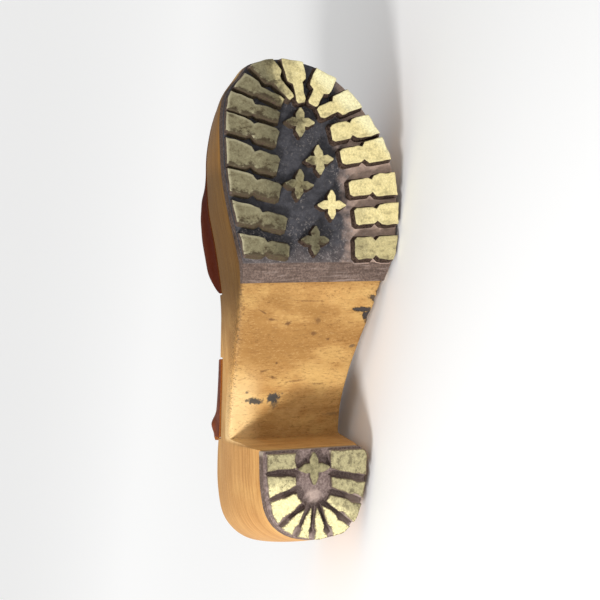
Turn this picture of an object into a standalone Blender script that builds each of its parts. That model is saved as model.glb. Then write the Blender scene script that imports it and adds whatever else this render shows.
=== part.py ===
"""A left mary jane clog, laid down on its outer side.

A carved wooden platform with its heel in one piece, lugged rubber under forefoot and heel, a closed
leather toe, and an instep strap that is buckled to a tab on the outer side.

Every piece is modelled standing, in millimetres in the shoe's own frame: x runs from heel to toe,
y towards the outer (lateral) side and z up from the floor under the lugs.  The finished shoe is
then laid over on its outer side.
"""
import math
from collections import namedtuple

import bmesh
import bpy
from mathutils import Matrix, Vector

MM = 0.001
SEAT_GAP = 0.3

# Wooden platform: how finely it is cut, and the edges
STEPS_PER_ROW = 3
BOTTOM_SPANS = 4
FOOTBED_SPANS = 8
SIDE_HEIGHTS = (0.28, 0.52, 0.76, 1.0)
BOTTOM_EDGE_ROUND = 1.0
RIM_EDGE_ROUND = 0.9

# Rabbet round the top of the wood, where the leather is lasted on
LEATHER = 2.0
LEATHER_PROUD = 0.4
RABBET_HEIGHT = 6.0
RABBET_DEPTH = LEATHER - LEATHER_PROUD + SEAT_GAP
LEDGE_RISE = 0.4
RABBET_RUN_OUT = 0.6
ROWS_APART = 0.03
LEATHER_EDGE_LIFT = LEDGE_RISE + SEAT_GAP
TAB_EDGE_LIFT = LEATHER_EDGE_LIFT + 0.3

# Where the leather meets the wood, as stretches of x along the rim
VAMP_REAR = 136.0
MEDIAL_TAB = (59.5, 102.0)
LATERAL_TAB = (59.5, 97.0)

# Rubber under the forefoot
LUG_DEPTH = 4.5
TREAD_FLAT_TO = 190.0
PLATE = 5.5
PLATE_REAR = 140.3
BEVEL_FRONT = 150.6
BEVEL_EDGE = 2.2
PLATE_TOP_INSET = 0.2
PLATE_FLOOR_INSET = 0.5
LUG_INSET = 0.9
LUG_SINK = 0.8
LUG_DRAFT = 1.4
LUG_INNER_SPREAD = 0.8
LUG_LEAN = Vector((-0.9, 0.0, 0.0))
CROSS_RADIUS = 7.3
CROSS_SHOULDER = 4.8
CROSS_CROTCH = 2.9
CROSS_SHOULDER_DEG = 28.0
CROSS_TIP_DEG = 3.5
CROSS_DRAFT = 1.0

# Rubber under the heel
HEEL_FRONT = 57.2
HEEL_PLATE = 4.5
HEEL_INSET = 0.2
HEEL_LUG_INSET = 1.8
HEEL_LUG_SETBACK = 1.1
HEEL_CROSS_AT = (48.2, 0.3)
HEEL_CROSS_RADIUS = 8.2
HEEL_CROSS_SHOULDER = 5.0
HEEL_CROSS_CROTCH = 3.2
HEEL_DRAFT = 1.2
GROOVE_ROOT = 0.42
CUT_PAST = 0.6
RECESS_BACK = 28.6
RECESS_SIDE = 9.4
RECESS_ROUND_FROM = 38.0
RECESS_ARC_STEPS = 8
RECESS_OPEN = 70.0

# Strap, tab, keeper and buckle on the outer side
STRAP = 2.2
STRAP_WIDTH = 16.0
SQUARE_UP_WIDTH = 24.0
STRAP_TAIL = 39.0
STRAP_ROUND_END = 8.0
STRAP_END_STEPS = 6
STRAP_TIP_SHARE = 0.25
STRAP_STEP = 4.6
BUCKLE_STEP = 1.7
BUCKLE_REACH = 11.7
ACROSS_SPANS = 6
TAB = 1.6
TAB_STEP = 4.4
FOLD_STEPS = 8
BAR_FROM_CREST = 30.0
WIRE = 1.3
FRAME_LENGTH = 16.0
FRAME_INNER_WIDTH = 17.4
FRAME_CORNER = 2.6
FRAME_CORNER_STEPS = 4
WIRE_SIDES = 10
PRONG = 0.9
PRONG_SLOT = 3.0
SLOT_DEPTH = 20.0
PRONG_SLOT_RUN = (-9.0, 1.4)
FOLD_SLOT_RUN = (-6.0, 4.4)
PRONG_SIDES = 8
PRONG_EYE_STEPS = 9
PRONG_EYE_FROM_DEG = 340.0
PRONG_EYE_SWEEP_DEG = 250.0
PRONG_ALONG = (0.35, 0.7, 1.0)
PRONG_TIP_DROP = 0.4
KEEPER_AT = 20.5
KEEPER_WIDTH = 6.0
KEEPER = 1.6
KEEPER_CORNER = 0.8
KEEPER_CORNER_STEPS = 3

# How it lies: the turn about the upright that brings ball and heel to the floor, and the roll
LYING_YAW_DEG = -8.62
LYING_ROLL_DEG = 2.91

Station = namedtuple(
    "Station",
    "x_bottom medial_bottom lateral_bottom z_bottom x_rim medial_rim lateral_rim z_rim bulge dish lean",
    defaults=(0.0,))

# The wood from the back of the heel to the toe: its lower edge, its upper edge under the leather,
# how far the side swells between them, how far the footbed is hollowed, and how far the rabbet on
# the medial side of the toe leans in per millimetre of height
SOLE = [
    Station(11.0, 2.0, 2.0, 9.3, 0.6, 0.0, 0.0, 72.8, 0.6, 0.0),
    Station(13.0, -10.0, 14.0, 9.3, 2.6, -11.6, 11.8, 72.6, 1.2, 1.2),
    Station(19.6, -19.8, 22.4, 9.3, 9.6, -21.6, 22.2, 72.2, 2.0, 2.6),
    Station(29.0, -24.3, 26.8, 9.3, 20.5, -27.4, 28.2, 71.6, 2.8, 3.6),
    Station(43.5, -25.8, 29.5, 9.3, 38.5, -29.4, 30.4, 70.0, 3.0, 4.0),
    Station(53.5, -25.7, 30.2, 9.3, 52.4, -29.3, 30.5, 68.0, 3.0, 4.0),
    Station(57.6, -25.6, 26.6, 9.3, 57.2, -29.2, 30.5, 66.6, 3.0, 4.0),
    Station(58.7, -27.3, 27.5, 20.2, 58.6, -29.2, 30.5, 66.1, 2.2, 4.0),
    Station(59.7, -29.1, 28.5, 31.1, 60.0, -29.2, 30.6, 65.7, 1.4, 4.0),
    Station(60.8, -30.8, 29.4, 42.0, 61.4, -29.2, 30.6, 65.2, 0.6, 4.0),
    Station(75.0, -31.7, 28.8, 36.8, 75.0, -30.0, 30.8, 60.0, 0.6, 3.8),
    Station(92.0, -32.3, 30.6, 29.0, 92.0, -31.4, 32.2, 51.6, 0.6, 3.4),
    Station(110.0, -32.5, 34.4, 20.4, 110.0, -33.2, 36.0, 42.6, 0.6, 3.0),
    Station(128.0, -32.5, 39.8, 13.2, 128.0, -34.3, 41.4, 36.2, 0.6, 2.8),
    Station(146.0, -32.7, 45.8, 10.4, 146.0, -36.6, 47.4, 33.2, 0.6, 2.6),
    Station(163.0, -35.6, 49.4, 10.3, 163.0, -39.2, 50.8, 32.2, 0.6, 2.6),
    Station(181.0, -39.3, 50.3, 10.3, 181.0, -42.0, 51.7, 32.0, 0.6, 2.6, 0.05),
    Station(200.0, -41.4, 47.6, 10.3, 200.3, -42.4, 49.0, 32.0, 0.6, 2.4, 0.28),
    Station(217.0, -41.3, 40.2, 10.9, 217.6, -39.8, 41.5, 32.6, 0.6, 2.0, 0.34),
    Station(231.0, -39.4, 31.2, 12.3, 232.0, -34.6, 31.4, 34.0, 0.6, 1.6, 0.34),
    Station(242.4, -31.2, 20.2, 13.8, 242.8, -27.6, 19.6, 35.5, 0.6, 1.2, 0.26),
    Station(249.6, -24.8, 8.0, 14.9, 249.6, -21.2, 7.4, 36.6, 0.6, 0.8, 0.08),
    Station(252.6, -8.6, -8.6, 15.3, 252.4, -8.8, -8.8, 37.0, 0.6, 0.0),
]

VampRow = namedtuple("VampRow", "crest_x crest_y crest_z medial_bulge lateral_bulge slant")

# The closed toe from its throat to its tip: the ridge over the toes, how far each side swells out
# from the straight line between rim and ridge, and how much the section slants forward
VAMP = [
    VampRow(168.0, 4.0, 81.0, 4.2, 3.0, 1.0),
    VampRow(176.6, 3.6, 78.5, 4.0, 2.6, 0.76),
    VampRow(187.0, 3.0, 75.4, 2.0, 2.0, 0.5),
    VampRow(196.1, 1.7, 72.5, -1.5, 1.4, 0.3),
    VampRow(205.0, 0.0, 69.8, -2.7, 0.8, 0.15),
    VampRow(213.8, -1.9, 67.3, -2.4, 0.2, 0.05),
    VampRow(222.0, -4.0, 65.4, -2.3, -0.2, 0.0),
    VampRow(230.9, -7.0, 64.2, -1.6, -0.3, 0.0),
    VampRow(236.0, -9.0, 63.6, -0.8, -0.4, 0.0),
]
VAMP_ARCH_STEPS = 8
VAMP_SQUARENESS = 0.86
VAMP_SWELL_POWER = 0.6
VAMP_SLANT_POWER = 1.7

Lug = namedtuple("Lug", "outer_x outer_y inner_x inner_y outer_width inner_width")

# Edge lugs: the middle of the outer and of the inner end, and the two widths
TOE_LUGS = [
    Lug(249.5, -3.7, 229.7, -0.6, 10.6, 4.8),
    Lug(242.5, 12.3, 228.9, 5.2, 11.4, 5.4),
    Lug(231.8, 25.8, 224.4, 8.4, 10.8, 5.8),
    Lug(250.0, -20.6, 231.9, -5.6, 11.4, 3.8),
    Lug(241.0, -33.6, 229.6, -10.6, 8.6, 4.0),
]
SIDE_LUGS = [
    Lug(219.3, 35.9, 214.4, 14.3, 10.4, 8.6),
    Lug(207.3, 43.4, 202.4, 19.0, 11.2, 7.8),
    Lug(189.7, 47.8, 186.8, 22.9, 11.2, 7.8),
    Lug(174.6, 49.5, 172.7, 25.7, 10.6, 8.2),
    Lug(157.2, 47.7, 156.8, 25.2, 12.0, 10.6),
    Lug(229.8, -38.0, 222.1, -12.9, 9.0, 5.8),
    Lug(219.4, -39.8, 211.7, -14.2, 8.8, 8.4),
    Lug(204.8, -40.2, 197.8, -14.3, 12.2, 9.0),
    Lug(190.6, -39.0, 184.9, -13.7, 10.8, 8.2),
    Lug(175.2, -36.5, 169.0, -11.0, 9.6, 7.4),
    Lug(159.3, -32.5, 155.8, -9.8, 9.4, 6.6),
]
# A lug's half outline, from its inner to its outer end: the way along it, and its half width as
# shares of the inner and of the outer width
LugStep = namedtuple("LugStep", "along inner_share outer_share")
LUG_STEPS = [
    LugStep(0.00, 0.36, 0.0),
    LugStep(0.07, 0.50, 0.0),
    LugStep(0.42, 0.50, 0.0),
    LugStep(0.50, 0.16, 0.16),
    LugStep(0.58, 0.0, 0.46),
    LugStep(0.70, 0.0, 0.50),
    LugStep(1.20, 0.0, 0.50),
]

Cross = namedtuple("Cross", "x y turn_deg")
CROSSES = [
    Cross(219.8, -1.9, 3.0),
    Cross(200.9, 7.3, -4.0),
    Cross(188.6, -3.6, 5.0),
    Cross(178.6, 13.3, 0.0),
    Cross(160.9, 4.2, 2.0),
]

Groove = namedtuple("Groove", "inner_x inner_y outer_x outer_y width notch_width")

# Grooves across the heel lugs, from the hollow in the middle to the edge, with their wide mouths
HEEL_GROOVES = [
    Groove(46.6, -7.0, 46.8, -24.0, 3.6, 3.4),
    Groove(39.2, -6.0, 33.9, -22.8, 3.4, 3.2),
    Groove(30.6, -5.0, 21.2, -18.5, 2.7, 4.2),
    Groove(30.2, -2.8, 15.6, -10.7, 2.1, 4.2),
    Groove(30.2, -0.4, 13.6, -2.0, 2.1, 4.2),
    Groove(30.4, 1.9, 14.6, 7.5, 2.1, 4.2),
    Groove(31.2, 4.2, 21.6, 16.0, 2.4, 4.8),
    Groove(37.2, 6.0, 30.5, 24.6, 3.2, 4.8),
    Groove(46.0, 6.0, 41.0, 28.2, 3.6, 4.8),
]
# A groove's half outline: the way along it, and its half width as shares of groove and mouth
GROOVE_STEPS = [
    LugStep(0.00, 0.80, 0.0),
    LugStep(0.22, 0.62, 0.0),
    LugStep(0.36, 0.50, 0.0),
    LugStep(0.66, 0.50, 0.0),
    LugStep(0.78, 0.0, 0.5),
    LugStep(1.00, 0.0, 0.36),
    LugStep(1.40, 0.0, 0.36),
]

InstepRow = namedtuple("InstepRow", "x y z width drop")

# The strap's inner face, from the medial rim over the instep and down the lateral side: the middle
# of its width, the width, and how much lower its front edge is than its rear edge
INSTEP = [
    InstepRow(77.5, -26.8, 72.5, 40.0, -15.0),
    InstepRow(71.0, -23.8, 84.0, 32.0, -10.0),
    InstepRow(66.6, -20.4, 97.0, 23.0, -6.5),
    InstepRow(65.4, -16.6, 110.0, 17.0, -5.0),
    InstepRow(67.0, -10.4, 121.6, STRAP_WIDTH, -4.4),
    InstepRow(69.0, -1.4, 128.0, STRAP_WIDTH, -4.0),
    InstepRow(69.0, 9.4, 127.4, STRAP_WIDTH, -4.0),
    InstepRow(67.0, 18.4, 118.6, STRAP_WIDTH, -4.2),
    InstepRow(64.6, 24.0, 106.8, STRAP_WIDTH, -4.4),
    InstepRow(62.6, 27.0, 94.4, STRAP_WIDTH, -4.8),
    InstepRow(61.0, 28.8, 81.8, STRAP_WIDTH, -5.2),
    InstepRow(60.0, 29.4, 70.0, STRAP_WIDTH, -5.6),
]
CREST_ROW = 5

TabRow = namedtuple("TabRow", "x y z width drop")

# The lateral tab's outer face between the rim and the strap's own width
LATERAL_TAB_ROWS = [
    TabRow(75.4, 31.4, 71.6, 34.5, -13.0),
    TabRow(69.0, 30.2, 80.0, 25.5, -8.6),
    TabRow(62.2, 29.2, 88.0, 16.4, -5.0),
]

Rise = namedtuple("Rise", "run lift")

# The strap's way through the buckle: the run past the bar and the height above the instep line
STRAP_RISE = [
    Rise(-30.0, 0.0),
    Rise(-8.6, 0.0),
    Rise(-5.6, 1.5),
    Rise(-3.7, 5.0),
    Rise(-1.2, 7.1),
    Rise(2.4, 7.3),
    Rise(6.0, 6.4),
    Rise(10.0, 4.9),
    Rise(14.0, 3.1),
    Rise(18.0, 2.4),
    Rise(26.0, 2.6),
    Rise(60.0, 5.0),
]
# The folded end of the tab past the bar: its run, and its height above the tab's own outer face
FOLD_DOWN = [
    Rise(4.05, 1.38),
    Rise(9.0, 0.36),
]


def harmonic_slope(before, after):
    """Slope at a table row that keeps the curve between its neighbours, without overshoot."""
    if before * after <= 0.0:
        return 0.0
    return 2.0 * before * after / (before + after)


def hermite(start, end, start_slope, end_slope, share):
    """Cubic between two values with the given slopes."""
    square = share * share
    cube = square * share
    return ((2 * cube - 3 * square + 1) * start + (cube - 2 * square + share) * start_slope
            + (3 * square - 2 * cube) * end + (cube - square) * end_slope)


def read(rows, position, column, past_end=None):
    """A table column at a fractional row.  Past either end it goes on as the column past_end,
    read back from that end, so that an outline runs round its tip."""
    last = len(rows) - 1
    index = max(0, min(int(position), last - 1))

    def value(row):
        if row < 0:
            return getattr(rows[1], past_end or column)
        if row > last:
            return getattr(rows[last - 1], past_end or column)
        return getattr(rows[row], column)

    before, start, end, after = (value(index + step) for step in (-1, 0, 1, 2))
    return hermite(start, end, harmonic_slope(start - before, end - start),
                   harmonic_slope(end - start, after - end), position - index)


def row_at(rows, column, wanted):
    """Fractional row where a rising column reaches the wanted value."""
    low, high = 0.0, float(len(rows) - 1)
    for _ in range(40):
        middle = 0.5 * (low + high)
        if read(rows, middle, column) < wanted:
            low = middle
        else:
            high = middle
    return 0.5 * (low + high)


OTHER = {"medial": "lateral", "lateral": "medial"}
SOLE_END = float(len(SOLE) - 1)


def plan(position, side, level):
    """Point of the sole's outline, seen from above, on one side at the bottom or the rim."""
    y = read(SOLE, position, f"{side}_{level}", f"{OTHER[side]}_{level}")
    return Vector((read(SOLE, position, f"x_{level}"), y, 0.0))


def plan_normal(position, side):
    """Outward direction of the rim's outline."""
    nudge = 0.02

    def reflected(place):
        if place < 0.0:
            return plan(-place, OTHER[side], "rim")
        if place > SOLE_END:
            return plan(2 * SOLE_END - place, OTHER[side], "rim")
        return plan(place, side, "rim")

    along = reflected(position + nudge) - reflected(position - nudge)
    turn = 1.0 if side == "lateral" else -1.0
    return Vector((-along.y * turn, along.x * turn, 0.0)).normalized()


def under_leather(x, side):
    """Whether leather is lasted to the rim at this x on this side."""
    tab = MEDIAL_TAB if side == "medial" else LATERAL_TAB
    return x > VAMP_REAR - RABBET_RUN_OUT or tab[0] - RABBET_RUN_OUT < x < tab[1] + RABBET_RUN_OUT


def sole_positions():
    """Rows at which the wood is cut: evenly, and at the ends of each rabbet."""
    places = {step / STEPS_PER_ROW for step in range(int(SOLE_END) * STEPS_PER_ROW + 1)}
    edges = [VAMP_REAR, VAMP_REAR - 0.5 * RABBET_RUN_OUT, VAMP_REAR - 1.5 * RABBET_RUN_OUT]
    for tab in (MEDIAL_TAB, LATERAL_TAB):
        for end, way in zip(tab, (-1.0, 1.0)):
            edges += [end + way * share * RABBET_RUN_OUT for share in (0.5, 1.5)]
    exact = [row_at(SOLE, "x_rim", x) for x in edges]
    places = [place for place in places if all(abs(place - other) > ROWS_APART for other in exact)]
    ordered = sorted(places + exact)
    return [place for place, following in zip(ordered, ordered[1:] + [SOLE_END + 1.0])
            if following - place > 1e-4]


def side_point(position, side, height):
    """Point on the side of the wood, from the bottom (0) to the ledge under the leather (1)."""
    point = plan(position, side, "bottom").lerp(plan(position, side, "rim"), height)
    swell = read(SOLE, position, "bulge") * 4.0 * height * (1.0 - height)
    point += plan_normal(position, side) * swell
    low = read(SOLE, position, "z_bottom")
    high = read(SOLE, position, "z_rim")
    point.z = low + (high - low) * height
    return point


def lean_in(position, side):
    """How far the rabbet leans in per millimetre of height."""
    return read(SOLE, position, "lean") if side == "medial" else 0.0


def rim_point(position, side, inset, lift):
    """Point near the rim: so far inside the wood's outline and so far above the ledge."""
    inset += lean_in(position, side) * lift
    point = plan(position, side, "rim") - plan_normal(position, side) * inset
    point.z = read(SOLE, position, "z_rim") + lift
    return point


def between(start, end, spans):
    """Points strictly between two points."""
    return [start.lerp(end, step / spans) for step in range(1, spans)]


def sole_ring(position):
    """Closed section of the wood at one row."""
    low = read(SOLE, position, "z_bottom")
    high = read(SOLE, position, "z_rim")
    edge_height = BOTTOM_EDGE_ROUND / (high - low)
    bottom = {}
    walls = {}
    for side in ("medial", "lateral"):
        normal = plan_normal(position, side)
        bottom[side] = side_point(position, side, 0.0) - normal * BOTTOM_EDGE_ROUND
        x = read(SOLE, position, "x_rim")
        inset = RABBET_DEPTH * math.hypot(1.0, lean_in(position, side)) if under_leather(x, side) else 0.0
        wall = [side_point(position, side, edge_height)]
        wall += [side_point(position, side, height) for height in SIDE_HEIGHTS]
        wall.append(rim_point(position, side, inset, LEDGE_RISE))
        wall.append(rim_point(position, side, inset, RABBET_HEIGHT - RIM_EDGE_ROUND))
        wall.append(rim_point(position, side, inset + RIM_EDGE_ROUND, RABBET_HEIGHT))
        walls[side] = wall
    floor = between(bottom["medial"], bottom["lateral"], BOTTOM_SPANS)
    footbed = between(walls["lateral"][-1], walls["medial"][-1], FOOTBED_SPANS)
    dish = read(SOLE, position, "dish")
    for step, point in enumerate(footbed, 1):
        across = abs(2.0 * step / FOOTBED_SPANS - 1.0)
        point.z -= dish * (1.0 - across ** 3)
    return ([bottom["medial"]] + floor + [bottom["lateral"]] + walls["lateral"] + footbed
            + walls["medial"][::-1])


def new_object(name, bm, material):
    """Mesh object from a bmesh in millimetres."""
    bmesh.ops.scale(bm, vec=(MM, MM, MM), verts=bm.verts)
    mesh = bpy.data.meshes.new(name)
    bm.to_mesh(mesh)
    bm.free()
    obj = bpy.data.objects.new(name, mesh)
    bpy.context.collection.objects.link(obj)
    if material:
        mesh.materials.append(material)
    return obj


def add_grid(bm, rows, closed=False, flip=False):
    """Quads between rows of points; a closed row joins its last point to its first."""
    grid = [[bm.verts.new(point) for point in row] for row in rows]
    for lower, upper in zip(grid, grid[1:]):
        count = len(lower)
        for index in range(count if closed else count - 1):
            after = (index + 1) % count
            corners = [lower[index], upper[index], upper[after], lower[after]]
            bm.faces.new(corners[::-1] if flip else corners)
    return grid


def close_mesh(bm):
    """Welds the points that coincide at the tips and turns every face outwards."""
    bmesh.ops.remove_doubles(bm, verts=bm.verts, dist=0.002)
    bmesh.ops.dissolve_degenerate(bm, edges=bm.edges, dist=0.0005)
    bmesh.ops.recalc_face_normals(bm, faces=bm.faces)


def prism(bm, outline, low, high, upper=None):
    """Prism on an outline of plan points; low and high give z at a point.

    Walls are upright, or lean out to another outline at the upper end.
    """
    bottom = [bm.verts.new((point.x, point.y, low(point))) for point in outline]
    top = [bm.verts.new((point.x, point.y, high(point))) for point in upper or outline]
    bm.faces.new(bottom[::-1])
    bm.faces.new(top)
    count = len(outline)
    for index in range(count):
        after = (index + 1) % count
        bm.faces.new([bottom[index], bottom[after], top[after], top[index]])


def cut(obj, other, operation, crossing=False):
    """Boolean modifier with a guide that isn't part of the shoe; its own shells may cross."""
    modifier = obj.modifiers.new(f"{operation.lower()}_{other.name}", "BOOLEAN")
    modifier.operation = operation
    modifier.use_self = crossing
    modifier.object = other
    modifier.solver = "EXACT"
    other.hide_render = True
    other.display_type = "WIRE"


def wooden_sole(material):
    """Platform, waist and heel carved from one block, with a hollowed footbed."""
    bm = bmesh.new()
    add_grid(bm, [sole_ring(position) for position in sole_positions()], closed=True)
    close_mesh(bm)
    return new_object("wood_sole", bm, material)


def toe_spring(x):
    """Height of the lugs above the floor, as the toe curves up."""
    if x < TREAD_FLAT_TO:
        return 0.0
    flat = read(SOLE, row_at(SOLE, "x_bottom", TREAD_FLAT_TO), "z_bottom")
    return max(0.0, read(SOLE, row_at(SOLE, "x_bottom", x), "z_bottom") - flat)


def plate_positions():
    """Rows of the forefoot rubber, from the end of its rear bevel to the toe."""
    ends = [row_at(SOLE, "x_bottom", PLATE_REAR), row_at(SOLE, "x_bottom", BEVEL_FRONT)]
    inside = [place for place in sole_positions() if place > ends[0] + ROWS_APART]
    inside = [place for place in inside if abs(place - ends[1]) > ROWS_APART]
    return sorted(ends + inside)


def edge_point(position, side, inset, z):
    """Point inside the wood's lower edge, at a height."""
    point = plan(position, side, "bottom") - plan_normal(position, side) * inset
    point.z = z
    return point


def plate_ring(position):
    """Closed section of the forefoot's rubber plate, which thins towards its rear edge."""
    x = read(SOLE, position, "x_bottom")
    top = read(SOLE, position, "z_bottom") - SEAT_GAP
    share = min(1.0, max(0.0, (x - PLATE_REAR) / (BEVEL_FRONT - PLATE_REAR)))
    floor = top - BEVEL_EDGE - (PLATE - BEVEL_EDGE) * share
    upper = [edge_point(position, side, PLATE_TOP_INSET, top) for side in ("medial", "lateral")]
    lower = [edge_point(position, side, PLATE_FLOOR_INSET, floor) for side in ("lateral", "medial")]
    return ([upper[0]] + between(*upper, BOTTOM_SPANS) + [upper[1], lower[0]]
            + between(*lower, BOTTOM_SPANS) + [lower[1]])


def outline_ring(positions, inset):
    """The sole's lower outline as one closed run of plan points."""
    medial = [edge_point(place, "medial", inset, 0.0) for place in positions]
    lateral = [edge_point(place, "lateral", inset, 0.0) for place in positions]
    return medial + lateral[::-1]


def without_repeats(points):
    """Drops points that fall on the one before them, or the last on the first."""
    kept = []
    for point in points:
        if not kept or (point - kept[-1]).length > 0.01:
            kept.append(point)
    if (kept[0] - kept[-1]).length < 0.01:
        kept.pop()
    return kept


def waisted_outline(inner, outer, inner_width, outer_width, steps):
    """Outline along an axis from half widths, mirrored about the axis."""
    axis = outer - inner
    aside = Vector((-axis.y, axis.x, 0.0)).normalized()
    left = []
    right = []
    for step in steps:
        half = step.inner_share * inner_width + step.outer_share * outer_width
        middle = inner + axis * step.along
        left.append(middle + aside * half)
        right.append(middle - aside * half)
    return right + left[::-1]


def cross_outline(x, y, turn_deg, radius, shoulder, crotch):
    """Four-armed lug with pointed arms."""
    points = []
    for arm in range(4):
        heading = math.radians(turn_deg + 90.0 * arm)
        spread = math.radians(CROSS_SHOULDER_DEG)
        blunt = math.radians(CROSS_TIP_DEG)
        polar = [(shoulder, heading - spread), (radius, heading - blunt), (radius, heading + blunt),
                 (shoulder, heading + spread), (crotch, heading + math.radians(45.0))]
        points += [Vector((x + r * math.cos(a), y + r * math.sin(a), 0.0)) for r, a in polar]
    return points


def forefoot_rubber(material):
    """Half sole: a plate with a bevelled rear edge, waisted lugs round it and crosses between."""
    bm = bmesh.new()
    rings = [plate_ring(position) for position in plate_positions()]
    grid = add_grid(bm, rings, closed=True)
    bm.faces.new(grid[0])
    close_mesh(bm)
    plate = new_object("forefoot_rubber", bm, material)

    bm = bmesh.new()
    for lug in TOE_LUGS + SIDE_LUGS:
        inner = Vector((lug.inner_x, lug.inner_y, 0.0))
        outer = Vector((lug.outer_x, lug.outer_y, 0.0))
        face = waisted_outline(inner, outer, lug.inner_width, lug.outer_width, LUG_STEPS)
        foot = waisted_outline(inner - (outer - inner).normalized() * LUG_DRAFT, outer,
                               lug.inner_width + 2.0 * LUG_DRAFT + LUG_INNER_SPREAD,
                               lug.outer_width + 2.0 * LUG_DRAFT, LUG_STEPS)
        prism(bm, face, lug_face, lug_root, [point + LUG_LEAN for point in foot])
    for cross in CROSSES:
        face = cross_outline(*cross, CROSS_RADIUS, CROSS_SHOULDER, CROSS_CROTCH)
        foot = cross_outline(*cross, CROSS_RADIUS + CROSS_DRAFT, CROSS_SHOULDER + CROSS_DRAFT,
                             CROSS_CROTCH + CROSS_DRAFT)
        prism(bm, face, lug_face, lug_root, [point + LUG_LEAN for point in foot])
    bmesh.ops.recalc_face_normals(bm, faces=bm.faces)
    lugs = new_object("lug_field", bm, None)

    bm = bmesh.new()
    edge = without_repeats(outline_ring(plate_positions(), LUG_INSET))
    prism(bm, edge, lambda point: -LUG_DEPTH, lambda point: 4.0 * LUG_DEPTH)
    bmesh.ops.recalc_face_normals(bm, faces=bm.faces)
    limit = new_object("lug_limit", bm, None)
    cut(lugs, limit, "INTERSECT", crossing=True)
    cut(plate, lugs, "UNION")
    return [plate, lugs, limit]


def lug_face(point):
    """Height of a lug's worn face."""
    return toe_spring(min(point.x, SOLE[-1].x_bottom))


def lug_root(point):
    """Height where a lug ends inside the plate."""
    return lug_face(point) + LUG_DEPTH + LUG_SINK


def heel_positions(front_x):
    """Rows of the heel rubber, from the back to a straight front edge."""
    front = row_at(SOLE, "x_bottom", front_x)
    return [place for place in sole_positions() if place < front - ROWS_APART] + [front]


def heel_recess(inset):
    """Outline of the hollow between the heel lugs, round at the back and open at the front."""
    half = RECESS_SIDE - inset
    points = [Vector((RECESS_OPEN, half, 0.0)), Vector((RECESS_OPEN, -half, 0.0))]
    for step in range(RECESS_ARC_STEPS + 1):
        angle = math.pi * step / RECESS_ARC_STEPS
        reach = (RECESS_ROUND_FROM - RECESS_BACK - inset) * math.sin(angle)
        points.append(Vector((RECESS_ROUND_FROM - reach, -half * math.cos(angle), 0.0)))
    return points[::-1]


def heel_rubber(material):
    """Heel piece: a plate with a ring of grooved lugs round a hollow with one cross."""
    top = SOLE[0].z_bottom - SEAT_GAP
    floor = top - HEEL_PLATE
    bm = bmesh.new()
    rings = []
    for position in heel_positions(HEEL_FRONT):
        upper = [edge_point(position, side, HEEL_INSET, top) for side in ("medial", "lateral")]
        inset = 0.5 * (HEEL_INSET + HEEL_LUG_INSET)
        lower = [edge_point(position, side, inset, floor) for side in ("lateral", "medial")]
        rings.append([upper[0]] + between(*upper, BOTTOM_SPANS) + [upper[1], lower[0]]
                     + between(*lower, BOTTOM_SPANS) + [lower[1]])
    grid = add_grid(bm, rings, closed=True)
    bm.faces.new(grid[-1][::-1])
    close_mesh(bm)
    plate = new_object("heel_rubber", bm, material)

    bm = bmesh.new()
    front = HEEL_FRONT - HEEL_LUG_SETBACK
    edge = without_repeats(outline_ring(heel_positions(front), HEEL_LUG_INSET))
    prism(bm, edge, lambda point: 0.0, lambda point: floor + LUG_SINK)
    bmesh.ops.recalc_face_normals(bm, faces=bm.faces)
    block = new_object("heel_lug_block", bm, None)

    bm = bmesh.new()
    ends = (lambda point: -CUT_PAST, lambda point: floor + LUG_SINK + CUT_PAST)
    prism(bm, heel_recess(0.0), *ends, heel_recess(HEEL_DRAFT))
    bmesh.ops.recalc_face_normals(bm, faces=bm.faces)
    hollow = new_object("heel_hollow", bm, None)
    cut(block, hollow, "DIFFERENCE")
    guides = [block, hollow]
    for number, groove in enumerate(HEEL_GROOVES, 1):
        bm = bmesh.new()
        inner = Vector((groove.inner_x, groove.inner_y, 0.0))
        outer = Vector((groove.outer_x, groove.outer_y, 0.0))
        mouth = waisted_outline(inner, outer, groove.width, groove.notch_width, GROOVE_STEPS)
        root = waisted_outline(inner, outer, groove.width * GROOVE_ROOT,
                               groove.notch_width * GROOVE_ROOT, GROOVE_STEPS)
        prism(bm, mouth, *ends, root)
        bmesh.ops.recalc_face_normals(bm, faces=bm.faces)
        slot = new_object(f"heel_groove_{number}", bm, None)
        cut(block, slot, "DIFFERENCE")
        guides.append(slot)

    bm = bmesh.new()
    sizes = (HEEL_CROSS_RADIUS, HEEL_CROSS_SHOULDER, HEEL_CROSS_CROTCH)
    face = cross_outline(*HEEL_CROSS_AT, 0.0, *sizes)
    foot = cross_outline(*HEEL_CROSS_AT, 0.0, *[size + CROSS_DRAFT for size in sizes])
    for point in face + foot:
        point.x = min(point.x, front)
    prism(bm, face, lambda point: 0.0, lambda point: floor + LUG_SINK, foot)
    bmesh.ops.recalc_face_normals(bm, faces=bm.faces)
    cross = new_object("heel_cross", bm, None)
    cut(plate, block, "UNION")
    cut(plate, cross, "UNION")
    return [plate, cross] + guides


def vamp_positions():
    """Rows at which the toe's leather is lasted, the same as the wood's."""
    start = row_at(SOLE, "x_rim", VAMP_REAR)
    return [place for place in sole_positions() if place > start - 1e-3]


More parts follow.
